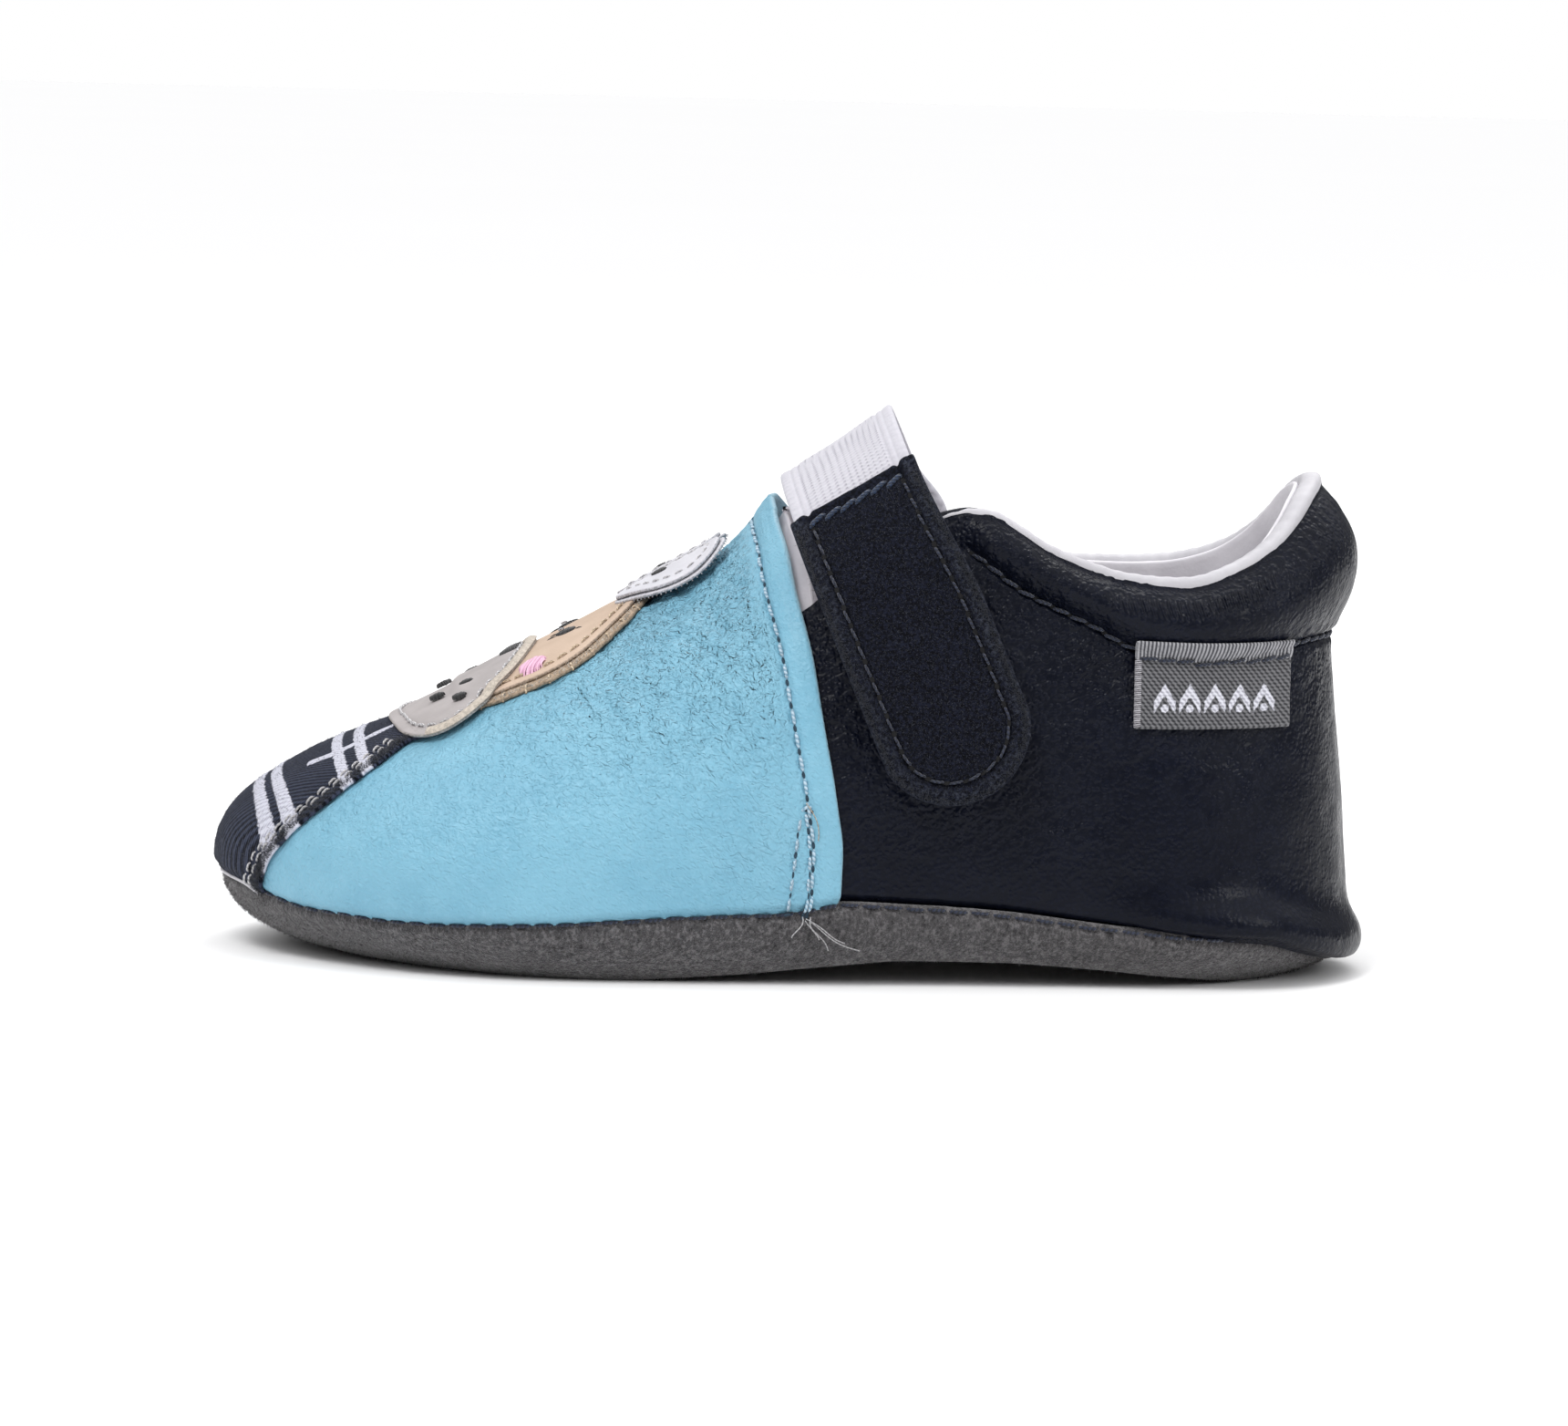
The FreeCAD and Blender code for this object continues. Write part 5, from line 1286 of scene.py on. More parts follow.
done(tubes("eye_lashes", lines, .10, "shoe", sides=5, material=T_BLACK), "black_thread")
lines = []
for s_ in (-1, 1):
    q = np.linspace(-.32, .32, 5)
    pp, nn = top_point(-27.3 + q, s_ * (4.4 + q * .5), 2.40 + .47)
    lines.append(pp + nn * (.05 * (1 - (q / .32) ** 2))[:, None])
done(tubes("eye_glints", lines, .13, "shoe", sides=6, material=T_WHITE), "white_leather")

# =====================================================================================
# Quarter
# =====================================================================================
R, C = 210, 460
x, z, side = back_grid(np.linspace(0, 1, R), np.linspace(-1, 1, C), front_edge := (lambda z, s: throat_x(z) - 4.5 + .05 * (s * 22 + 20)),
                       lambda x, s: seam_z(x) + .3, lambda x, s: top(x, s) + .35)
P, N = skin(x, z, side, 0)
w = collar_share(x, z, side)
below = collar_low(x, side) - z
tl = top(x, side) + .35 - z
up = z - seam_z(x)
arc = P[..., 0] * 0
arc[:, 1:] = np.cumsum(np.linalg.norm(np.diff(P, axis=1), axis=-1), axis=1)
on = smooth(14, 26, x)
wr = smooth(16, 1, below) * smooth(-3, 2, below) * (.35 + .65 * smooth(28, 38, x) * smooth(64, 50, x)) * on
wr = np.maximum(wr, .75 * smooth(22, 12, up) * 0 + .7 * smooth(22, 30, z) * smooth(30, 20, x))
wr = np.maximum(wr, .45 * smooth(3, 10, up) * smooth(44, 30, x))
wr = np.clip(np.maximum(wr, .30 * (below < 0)), 0, 1)
off = bulge(x, z, side) + rim(x, z)
rot = np.stack([P[..., 0] * .75 + P[..., 2] * .66, P[..., 1], -P[..., 0] * .66 + P[..., 2] * .75], -1)
h = creases(rot, (5.5, 5, 2.4), 83, sharp=2.8) * .26 * smooth(20, 2, below) * smooth(-.5, 1.5, below) * smooth(20, 30, x) * smooth(66, 48, x)
h = h + creases(rot, (2.0, 2.0, 1.2), 84, sharp=2.4) * .09 * wr + fractal(P, 8, 85, 3) * .14 * smooth(0, 3, np.abs(below))
h = h - .50 * np.exp(-(below / .55) ** 2) * on
puck = np.sin(arc * 2 * math.pi / 1.05 + 2.2 * noise(P, 2.5, 86)) * (.7 + .5 * noise(P, 3, 87))
h = h + .045 * puck * smooth(2.3, 1.2, tl) * smooth(.25, .7, tl) * smooth(15, 24, x)
h = h + .10 * np.sin(arc * 2 * math.pi / 1.7 + 2 * noise(P, 4, 88)) * np.exp(-((tl - 2.7) / .9) ** 2) * smooth(36, 46, x)
h = h + .11 * np.sin(arc * 2 * math.pi / 2.6 + 1.5 * noise(P, 5, 89)) * np.exp(-((below + .9) / .8) ** 2) * on
h = h + .09 * np.sin(arc * 2 * math.pi / 2.6 + 1.5 * noise(P, 5, 90)) * np.exp(-((below - .9) / .8) ** 2) * on
h = h - 1.0 * smooth(1.3, 0, up - .3) ** 1.6
PQ = P + N * (off + h)[..., None]
under = top(x, side) - z
pucker = smooth(1.3, 2.1, under) * smooth(4.3, 3.1, under) * smooth(34, 41, x) * smooth(60, 53, x)
quarter = shell("quarter_leather", PQ, N, 1.05, "shoe", rim=5, attrs={"wr": wr, "pucker": pucker}, material=MN)
done(quarter, "navy_leather", "quarter_outer")

x, z, side = back_grid(np.linspace(0, 1, 60), np.linspace(-1, 1, 240), lambda z, s: throat_x(z) + .8 + .05 * (s * 22 + 20),
                       lambda x, s: seam_z(x) + .4, lambda x, s: top(x, s) + .55)
P, N = skin(x, z, side, 0)
arc = np.zeros(x.shape)
arc[:, 1:] = np.cumsum(np.linalg.norm(np.diff(P, axis=1), axis=-1), axis=1)
h = fractal(P, (5, 5, 16), 91, 2) * .22 * smooth(top(x, side) - 1, top(x, side) - 7, z)
h = h - (1.55 * collar_size(x) ** 2 + .1 - .3) * smooth(9, 1.5, top(x, side) - z) * smooth(18, 34, x)
done(shell("quarter_lining_leather", P + N * (-1.5 + h)[..., None], N, .6, "shoe", rim=4, material=white_leather(
    "lining_leather", (.80, .78, .82), (.68, .66, .70))), "white_leather", "quarter_lining")

x, z, side = back_grid(np.linspace(0, 1, 14), np.linspace(-1, 1, 160), lambda z, s: 24.0 + 0 * z,
                       lambda x, s: collar_low(x, s) + .22 * (top(x, s) - collar_low(x, s)),
                       lambda x, s: collar_low(x, s) + .8 * (top(x, s) - collar_low(x, s)))
P, N = skin(x, z, side, 0)
o = np.maximum(bulge(x, z, side, 1.6) - 1.5, -1.15)
foam = shell("collar_foam_roll", P + N * o[..., None], N, .25, "shoe", rim=3, material=M_FOAM,
             inner=P + N * (-1.35))
done(foam, "foam", "collar_foam")

# collar binding: a folded strip swept along the top line
C = 420
t = np.linspace(-1, 1, C)
sec = [(-.02, -.45), (.02, .1), (-.02, .6), (-.12, .95), (-.32, 1.2), (-.6, 1.32), (-1.0, 1.38), (-1.4, 1.36), (-1.75, 1.24), (-2.0, .95), (-2.1, .5), (-2.12, -.2), (-2.13, -1.6), (-2.12, -3.0)]
sec = dense(sec, 26)
rows_, nrm = [], []
for so, szz in sec:
    x, z, side = back_grid(np.array([1.0]), t, lambda z, s: 15.5 + 0 * z, lambda x, s: top(x, s), lambda x, s: top(x, s) + .12)
    x, z, side = x[0], z[0], side[0]
    sz = collar_size(x)
    fade = smooth(15.5, 24, x)
    depth = (-so / 2.12) * (1.15 + 1.15 * sz ** 2 * 1.35)
    p0, n0 = skin(x, top(x, side) + .12, side, 0)
    q, _ = skin(x, top(x, side) + .12, side, -depth - .05)
    lump = .05 * noise(p0, 2.2, 95) + .04 * np.sin(np.concatenate([[0], np.cumsum(np.linalg.norm(np.diff(p0, axis=0), axis=1))]) * 2 * math.pi / 2.0)
    q = q + np.array([0, 0, 1.0]) * (szz * (.35 + .65 * fade) * (.55 + .62 * sz ** 2) + lump)[:, None]
    rows_.append(q)
P = np.stack(rows_)
N = grid_normals(P)
if np.sum(N[12] * np.array([0, 0, 1])) < 0:
    N = -N
done(shell("collar_binding_strip", P, N, .22, "shoe", rim=3, material=MW), "white_leather", "collar_binding")

# =====================================================================================
# Sole
# =====================================================================================
C = 520
a = np.linspace(0, 2 * math.pi, C, endpoint=False)
side = np.where(np.sin(a) < 0, -1, 1)
R1, R2 = 34, 46


def outline_at(z, off):
    f, b = toe_front(z), heel_back(z)
    x = (f + b) / 2 - (b - f) / 2 * np.cos(a)
    y = side * width(x, z, side)
    nx = level(x + .02, y, z) - level(x - .02, y, z)
    ny = np.where(np.abs(y) > .02, level(x, y + .02, z) - level(x, y - .02, z), 0)
    d = np.maximum(np.hypot(nx, ny), 1e-9)
    return x + off * nx / d, y + off * ny / d


rows_ = []
for r in range(R2):
    v_ = r / (R2 - 1)
    z = np.full(C, 3.0)
    for _ in range(24):
        x, y = outline_at(z, .9)
        z = .4 * z + .6 * (sole_lift(x) + .0 + v_ * (seam_z(x) - .3 - sole_lift(x)))
    rows_.append(np.stack([x, y + SH, z], -1))
W = np.stack(rows_)
base = W[0]
c0 = np.array([0.0, SH, 0])
disc_rows = []
for r in range(R1):
    s = .03 + .97 * (r / R1) ** .9
    q = np.stack([base[:, 0] * s, SH + (base[:, 1] - SH) * s, base[:, 2]], -1)
    q[:, 2] = sole_lift(q[:, 0])
    disc_rows.append(q)
P = np.concatenate([np.stack(disc_rows), W])
N = grid_normals(P, closed=True)
N[:R1 - 1] = np.array([0, 0, -1.0])
if np.sum(N[-5, :, 1] * np.sign(P[-5, :, 1])) < 0:
    N = -N
    N[:R1 - 1] = np.array([0, 0, -1.0])
for _ in range(6):
    N[R1 - 6:R1 + 8] = unit(N[R1 - 6:R1 + 8] + N[R1 - 7:R1 + 7] + N[R1 - 5:R1 + 9])
h = fractal(P, .8, 101, 2) * .09 + noise(P, 3.5, 103) * .12
h = h * smooth(0, 1.2, P[..., 2] + .0 * P[..., 0] - sole_lift(P[..., 0]) + .05) + .02
topz = seam_z(P[..., 0]) - .3 - P[..., 2]
h = h - .45 * smooth(.9, 0, topz) ** 2
P = P + N * h[..., None]
P[..., 2] = np.maximum(P[..., 2], .02)
sole = shell("outsole_suede", P, N, 1.4, "shoe", closed=True, disc=True, rim=4, material=MSOLE,
             uv=np.stack([P[..., 0] + 80, P[..., 1] + 40], -1))
done(sole, "sole_suede", "outsole")
wall = np.zeros(P.shape[:2])
wall[R1 - 3:] = 1
p, n = sprinkle(P, N, 17000, wall)
k = p[:, 2] > .25
done(fibres("outsole_nap", p[k], n[k], .42, "shoe", M_FUZZ_GREY, radius=.03, lean=.9), "sole_suede")

fo, bo = None, None
a40 = np.linspace(0, 2 * math.pi, 200, endpoint=False)
a, side, C = a40, np.where(np.sin(a40) < 0, -1, 1), 200
for nm, z0, th, mat, slot, node, seed in (("insole_foam_pad", 7.25, 2.2, M_FOAM, "foam", "insole_foam", 111),
                                          ("sock_liner_cloth", 8.1, .7, white_leather("sock_cloth", (.50, .485, .49), (.41, .395, .40)), "sock", "sock_liner", 113)):
    ix, iy = outline_at(np.full(200, 6.0 if nm[0] == 'i' else 7.6), -3.2 if nm[0] == 'i' else -2.3)
    s = 1 - (1 - np.linspace(.04, 1, 34)) ** 1.4
    X, Y = 0 + ix[None] * s[:, None], iy[None] * s[:, None]
    Z = np.full(X.shape, z0) + fractal(np.stack([X, Y, X * 0], -1), 9, seed, 3) * .08 - .25 * smooth(.93, 1, s)[:, None]
    P = np.stack([X, Y + SH, Z], -1)
    ob = shell(nm, P, np.broadcast_to(np.array([0, 0, 1.0]), P.shape).copy(), th, "shoe", closed=True, disc=True, rim=4,
               material=mat, uv=np.stack([X, Y], -1))
    done(ob, slot, node)

# =====================================================================================
# Strap
# =====================================================================================
TILT = math.radians(23.4)
E1 = np.array([math.cos(TILT), 0, math.sin(TILT)])
E3 = np.array([-math.sin(TILT), 0, math.cos(TILT)])
ALONG, APEX, LAT, MED, TABTOP, TABEND = 29.5, 53.5, 37.0, 41.6, 48.3, 12.9


def bez(p0, p1, p2, p3, n):
    q = np.linspace(0, 1, n + 1)[:, None]
    p0, p1, p2, p3 = map(np.asarray, (p0, p1, p2, p3))
    return (1 - q) ** 3 * p0 + 3 * (1 - q) ** 2 * q * p1 + 3 * (1 - q) * q * q * p2 + q ** 3 * p3


class Col:
    """The strap's base line at a across its width: length s, place y, height h, tangent."""

    def __init__(self, a):
        hs = np.arange(TABEND - 4, LAT - .01, .5)

        def w(hh, sd=-1):
            return float(width((ALONG + a) * E1[0] + hh * E3[0], (ALONG + a) * E1[2] + hh * E3[2], sd))
        low = np.array([(-w(hh), hh) for hh in hs])
        p0 = (-w(LAT), LAT)
        dy = (p0[0] + w(35.8)) / 1.2
        xm, zm = (ALONG + a * .3) * E1[0] + (MED - 1.2) * E3[0], (ALONG + a * .3) * E1[2] + (MED - 1.2) * E3[2]
        my = float(width(xm, zm, 1)) - 4.1
        over = bez(p0, (p0[0] + dy * 9.5, LAT + 10.5), (-13.5, APEX), (.5, APEX), 70)
        down = bez((.5, APEX), (13, APEX), (my - .4, MED + 7.5), (my, MED), 60)
        L = np.concatenate([low, over, down[1:]])
        s = np.concatenate([[0], np.cumsum(np.linalg.norm(np.diff(L, axis=0), axis=1))])
        self.s = np.linspace(0, s[-1], 420)
        self.y, self.h = np.interp(self.s, s, L[:, 0]), np.interp(self.s, s, L[:, 1])
        T = np.stack([np.gradient(self.y), np.gradient(self.h)], -1)
        k = np.exp(-np.linspace(-2, 2, 15) ** 2)
        k /= k.sum()
        T = np.stack([np.convolve(np.pad(T[:, j], 7, mode="edge"), k, mode="valid") for j in (0, 1)], -1)
        self.T = T / np.linalg.norm(T, axis=1, keepdims=True)
        self.end = s[-1]
        self.imax = int(np.argmax(self.h))
        self.h0 = self.h.copy()
        self.h = self.h + .18 * a * smooth(39.5, 53.5, self.h)

    def at(self, hh):
        return float(np.interp(hh, self.h0[:self.imax], self.s[:self.imax]))


def strap_grid(avals, s_of, rows):
    """Grid rows along the strap and columns across; s_of(col, a) gives its two ends."""
    P, N, S = [], [], []
    for a_ in avals:
        c = Col(a_)
        lo, hi = s_of(c, a_)
        s = np.linspace(lo, hi, rows)
        y, hh = np.interp(s, c.s, c.y), np.interp(s, c.s, c.h)
        ty, th = np.interp(s, c.s, c.T[:, 0]), np.interp(s, c.s, c.T[:, 1])
        base = E1 * (ALONG + a_) + E3 * hh[:, None]
        base[:, 1] = y + SH
        P.append(base)
        N.append(unit(np.stack([E3[0] * ty, -th, E3[2] * ty], -1)))
        S.append(s)
    return np.stack(P, 1), np.stack(N, 1), np.stack(S, 1)


def tab_ends(r, h_end, top_h=TABTOP):
    def ends(c, a_):
        drop = r - math.sqrt(max((r * 1.03) ** 2 - a_ * a_, 0))
        return c.at(h_end + drop), c.at(top_h)
    return ends


def tab(name, r, h_end, off, thick, mat, rows=210, cols=110, top_h=TABTOP, body="strap_tab", shape=None, rimk=5):
    av = r * np.sin(np.linspace(-1, 1, cols) * math.pi / 2) * .35 + r * np.linspace(-1, 1, cols) * .65
    P, N, S = strap_grid(av, tab_ends(r, h_end, top_h), rows)
    A = np.broadcast_to(av, S.shape)
    P = P - E1 * (1.5 * smooth(0, 8.7, A) * smooth(17, 1, S[-1:] - S))[..., None]
    q = np.stack([A, S], -1)
    border = np.concatenate([q[::-1, 0], q[0, 1:-1], q[:, -1]])
    d = np.full(S.shape, 1e9)
    for k in range(len(border) - 1):
        e = border[k + 1] - border[k]
        f = np.clip(((q - border[k]) @ e) / max(e @ e, 1e-9), 0, 1)
        d = np.minimum(d, np.linalg.norm(q - (border[k] + f[..., None] * e), axis=-1))
    h = shape(P, d, A, S) if shape else 0 * d
    o = shell(name, P + N * (off + h)[..., None], N, thick, body, rim=rimk, uv=q,
              attrs={"rub": smooth(2.0, .6, d) * .9}, material=mat)
    return o, P + N * (off + h)[..., None], N, d, A, S, P


def tab_shape(P, d, A, S):
    s0 = S[-1:, :]
    hh = .16 * np.exp(-((d - 1.1) / .7) ** 2) - .46 * np.exp(-((d - 2.05) / .36) ** 2) + .07 * np.exp(-((d - 2.9) / .5) ** 2)
    hh = hh - .10 * np.exp(-((d - .25) / .2) ** 2)
    hh = hh + fractal(P, 3.5, 121, 3) * .12 + noise(P, .8, 122) * .04
    hh = hh - .22 * np.exp(-((s0 - S - .9) / .5) ** 2)
    return hh + .35 * smooth(5.5, 8.7, A) ** 2


o, PS, NS, dS, AS, SS, BS = tab("strap_tab_suede", 8.7, TABEND, 3.85, .95, MSUEDE, shape=tab_shape)
done(o, "navy_suede", "strap_outer")
clear = smooth(1.2, 2.2, SS.max(0, keepdims=True) - SS)
p, n = sprinkle(PS, NS, 12000, clear)
done(fibres("strap_tab_nap", p, n, .26, "strap_tab", M_FUZZ_NAVY, radius=.022, lean=1.2), "navy_suede")
p, n = sprinkle(PS, NS, 3200, smooth(.5, .05, dS) * clear)
done(fibres("strap_tab_edge_fray", p, n, .5, "strap_tab", M_FUZZ_NAVY, radius=.028, lean=1.2), "navy_suede")
o, PB, NB, dB, _, _, _ = tab("strap_tab_backing", 8.55, TABEND + .15, 2.86, .78, MSUEDE, rows=110, cols=70,
                       shape=lambda P, d, A, S: noise(P, 1.2, 125) * .05 + .30 * smooth(5.5, 8.5, A) ** 2)
done(o, "navy_suede", "strap_backing")
o, PH, NH, dH, _, _, _ = tab("hook_tape_patch", 7.2, TABEND + 1.6, 1.98, .7, M_HOOK, rows=90, cols=60, top_h=35.0,
                       shape=lambda P, d, A, S: noise(P, .5, 127) * .06)
done(o, "hook_tape", "hook_patch")
p, n = sprinkle(PH - NH * .7, -NH, 2600)
done(fibres("hook_tape_hooks", p, n, .5, "strap_tab", M_FUZZ_NAVY, radius=.04, lean=.5), "hook_tape")
# stitch row inside the border of the tab
row, tip = [], []
for k, dd in enumerate((2.05,)):
    av = np.linspace(-8.7 + dd, 8.7 - dd, 90)
    sd = np.linspace(TABTOP - 1.2, TABEND + 12, 60)
    left = [(-8.7 + dd, Col(-8.7 + dd).at(q)) for q in (TABTOP - 1.4, 40, 30, 24)]
    rr = 8.7 - dd
    endl = [(rr * math.sin(f), Col(rr * math.sin(f)).at(TABEND + dd + (rr * 1.0 - rr * math.cos(f)) * .92)) for f in np.linspace(-1.45, 1.45, 44)]
    right = [(8.7 - dd, Col(8.7 - dd).at(q)) for q in (24, 30, 40, TABTOP - 1.4)]
    path = np.array(left + endl + right)
    seg = np.concatenate([[0], np.cumsum(np.linalg.norm(np.diff(path, axis=0), axis=1))])
    u = np.linspace(0, seg[-1], 420)
    pa, ps = np.interp(u, seg, path[:, 0]), np.interp(u, seg, path[:, 1])
    pts, nns = [], []
    cols_ = {}
    for q1, q2 in zip(pa, ps):
        key = round(q1 * 4) / 4
        if key not in cols_:
            cols_[key] = Col(key)
        c = cols_[key]
        y, hh = np.interp(q2, c.s, c.y), np.interp(q2, c.s, c.h)
        ty, th = np.interp(q2, c.s, c.T[:, 0]), np.interp(q2, c.s, c.T[:, 1])
        b = E1 * (ALONG + q1) + E3 * hh
        b[1] = y + SH
        b = b - E1 * float(1.5 * smooth(0, 8.7, q1) * smooth(17, 1, c.at(TABTOP) - q2))
        nn = unit(np.array([E3[0] * ty, -th, E3[2] * ty]))
        pts.append(b + nn * (3.66 + .35 * float(smooth(5.5, 8.7, q1)) ** 2))
        nns.append(nn)
    pts, nns = np.array(pts), np.array(nns)
    for _ in range(3):
        pts[1:-1] = (pts[:-2] + 2 * pts[1:-1] + pts[2:]) / 4
    l, r, hl = stitch_row(pts, nns, pitch=2.3, length=.74, radius=.18, rise=.16, slant=.08)
    done(hole_shade_discs("strap_tab_stitch_holes", hl, .28, "strap_tab", M_HOLE_DARK, stretch=1.6, lift=.04), "black_thread")
    done(tubes("strap_tab_stitches", l, r, "strap_tab", material=T_NAVY), "navy_suede")

# loop tape on the quarter
av = np.linspace(-6.5, 6.5, 50)
P, N, S = strap_grid(av, lambda c, a_: (c.at(16), c.at(36.4)), 70)
h = noise(P, .5, 131) * .08
PL = P + N * (.85 + h)[..., None]
done(shell("loop_tape_patch", PL, N, .7, "shoe", rim=3, material=M_LOOP), "loop_tape", "loop_patch")
p, n = sprinkle(PL, N, 2400)
done(fibres("loop_tape_pile", p, n, .3, "shoe", M_FUZZ_NAVY, radius=.03, lean=1.0, curl=1.0), "loop_tape")

# heavy twisted thread where the tab joins the elastic
pts, nns = [], []
for a_ in np.linspace(-6.9, 6.6, 60):
    c = Col(a_)
    s = c.at(TABTOP) - 1.55
    y, hh = np.interp(s, c.s, c.y), np.interp(s, c.s, c.h)
    ty, th = np.interp(s, c.s, c.T[:, 0]), np.interp(s, c.s, c.T[:, 1])
    b = E1 * (ALONG + a_ - float(1.5 * smooth(0, 8.7, a_))) + E3 * hh
    b[1] = y + SH
    nn = unit(np.array([E3[0] * ty, -th, E3[2] * ty]))
    pts.append(b + nn * (3.80 + .35 * float(smooth(5.5, 8.7, a_)) ** 2))
    nns.append(nn)
lines, radii, h_ = stitch_row(np.array(pts), np.array(nns), pitch=2.2, length=1.1, radius=.30, rise=.2, slant=.42, wobble=.12)
done(tubes("strap_bar_tack", lines, radii, "strap_tab", sides=8, material=T_INK), "navy_suede")

# elastic
av = np.linspace(-8.2, 8.2, 130)
P, N, S = strap_grid(av, lambda c, a_: (c.at(TABTOP) - 1.6, c.end - .2), 240)
A = np.broadcast_to(av, S.shape)
s_in = S - S[0:1]
band_ = smooth(-6.4, -6.0, A) * smooth(6.4, 6.0, A)
rib = np.sin(A * 2 * math.pi / 1.05)
knit = np.sin(S * 2 * math.pi / .62 + 1.6 * rib)
h = band_ * (.008 * rib + .035 * knit) - .16 * np.exp(-((np.abs(A) - 6.2) / .22) ** 2)
h = h + fractal(P, 5, 141, 2) * .07 + .06 * np.sin(S * 2 * math.pi / 1.3) * smooth(7.4, 8.1, np.abs(A))
h = h - .10 * np.exp(-((np.abs(A) - 7.2) / .18) ** 2)
tuck = smooth(1.9, .9, s_in)
P = P - E1 * (1.5 * smooth(-2, 8.2, A) * smooth(S[-1:] - .5, S[-1:] - 6, S))[..., None]
PE = P + N * (2.72 + h - 0 * tuck)[..., None]
ela = shell("elastic_webbing", PE, N, .9, None, rim=5, uv=np.stack([A, S], -1), attrs={"body": band_}, material=ME)
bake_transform(ela)
done(ela, "white_elastic", "elastic_band")
EE, EN, EA = PE[-1], N[-1], av.copy()

av = np.linspace(-8.2, 8.2, 80)
rows_, nn_ = [], []
for q in np.linspace(0, 1, 60):
    hh = MED - 1.3 - 7.8 * q
    xx, zz_ = (ALONG + av) * E1[0] + hh * E3[0], (ALONG + av) * E1[2] + hh * E3[2]
    p, n = skin(xx, zz_, np.ones(80), -2.42)
    rows_.append(p)
    nn_.append(n)
P, N = np.stack(rows_), np.stack(nn_)
A = np.broadcast_to(av, P.shape[:2])
S = np.broadcast_to(np.linspace(0, 7.8, 60)[:, None], A.shape)
band_ = smooth(-6.4, -6.0, A) * smooth(6.4, 6.0, A)
h = band_ * (.08 * np.sin(A * 2 * math.pi / 1.05))
done(shell("elastic_sewn_end", P + N * h[..., None], N, .75, "shoe", rim=4, uv=np.stack([A, S], -1), attrs={"body": band_},
           material=ME), "white_elastic", "elastic_anchor")
# the elastic carries on over the top line to its sewn end
e0 = np.stack([np.interp(av, EA, EE[:, i]) for i in range(3)], -1)
n0 = unit(np.stack([np.interp(av, EA, EN[:, i]) for i in range(3)], -1))
w = smooth(0, 1, np.linspace(0, 1, 26))[:, None, None]
P2, N2 = e0 * (1 - w) + P[5] * w, unit(n0 * (1 - w) + N[5] * w)
P2 = P2 + N2 * (.03 + .10 * np.sin(math.pi * w))
A2 = np.broadcast_to(av, P2.shape[:2])
done(shell("elastic_turned_end", P2, N2, .82, "shoe", rim=4,
           uv=np.stack([A2, np.broadcast_to(np.linspace(0, 3, 26)[:, None], A2.shape)], -1),
           attrs={"body": smooth(-6.4, -6.0, A2) * smooth(6.4, 6.0, A2)}, material=ME), "white_elastic")
lines, radii = [], []
for q in (.35, .45):
    k = int(q * 59)
    l, r, hl = stitch_row(P[k] - N[k] * .78, -N[k], pitch=1.8, length=.75, radius=.15, rise=.12)
    lines += l
    radii += r
done(tubes("elastic_end_stitches", lines, radii, "shoe", material=T_WHITE), "white_leather")

# =====================================================================================
# Label
# =====================================================================================
def label(name, z0, z1, off, thick, band_v, rows, cols=110, sag=0.0):
    xs = np.linspace(40.3, 58.5, cols)
    X, V = np.meshgrid(xs, np.linspace(0, 1, rows))
    bow = np.sin(math.pi * (X - 40.3) / 18.2)
    Zz = z0 + (z1 - z0) * V - sag * bow
    U, T = X - 40.3, Zz - z0
    o_ = off + bulge(X, Zz, np.full(X.shape, -1)) * (1.0 if band_v > .5 else .9)
    P, N = skin(X, Zz, -1, 0)
    h = fractal(P, 3.5, 151, 2) * .08 + .04 * np.sin(U * 2 * math.pi / 1.1) * smooth(1, 0, V) * (band_v < .5)
    h = h + .05 * np.exp(-((np.minimum(U, 18.2 - U) - .3) / .3) ** 2)
    if band_v > .5:
        h = h + .05 * np.sin(U * 2 * math.pi / .52) + .22 * np.sin(math.pi * V)
    motif = np.full(X.shape, -1.0)
    if band_v < .5:
        for k in range(5):
            uk = 3.3 + 2.95 * k
            d_ = np.abs(U - uk)
            motif = np.maximum(motif, np.minimum(.36 - np.abs((T - 2.9) - 1.5 + 1.7 * d_) * .51, 1.25 - d_))
            motif = np.maximum(motif, .46 - np.hypot(U - uk, T - 2.2))
    P2 = P + N * (o_ + thick + h)[..., None]
    o = shell(name, P2, N, thick, None if band_v < .5 else "shoe", rim=4, uv=np.stack([U, T], -1),
              attrs={"motif": motif, "band": np.full(X.shape, band_v)}, material=ML)
    return o, P2, N


lab, PLB, NLB = label("label_woven_flap", 31.5, 39.6, .25, .5, 0.0, 70)
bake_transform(lab)
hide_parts("label_flap")
hemo, PHM, NHM = label("label_sewn_hem", 39.6, 41.3, .35, .55, 1.0, 24, sag=.3)
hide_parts("label_hem")
lines, radii = [], []
for k in range(0, 68, 2):
    e = np.linspace(-1, 1, 9)
    p0, n0 = PLB[k, 0], NLB[k, 0]
    tdir = unit(PLB[min(k + 1, 69), 5] - p0)
    lines.append(p0 + tdir * (e[:, None] * .42 + .2) + n0 * (.1 * (1 - e ** 2) - .12 * e ** 4)[:, None])
    radii.append(np.full(9, .08))
ov = tubes("label_overlock", lines, radii, None, sides=5, material=T_EARS)
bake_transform(ov)
xx = np.linspace(40.6, 58.3, 120)
zz_ = 39.75 - .75 * np.sin(np.linspace(0, math.pi, 120))
pp, nn = skin(xx, zz_, -1, .98 + bulge(xx, zz_, np.full(120, -1)))
l, r, hl = stitch_row(pp, nn, pitch=2.2, length=.9, radius=.22, rise=.12, slant=.14, wobble=.08)
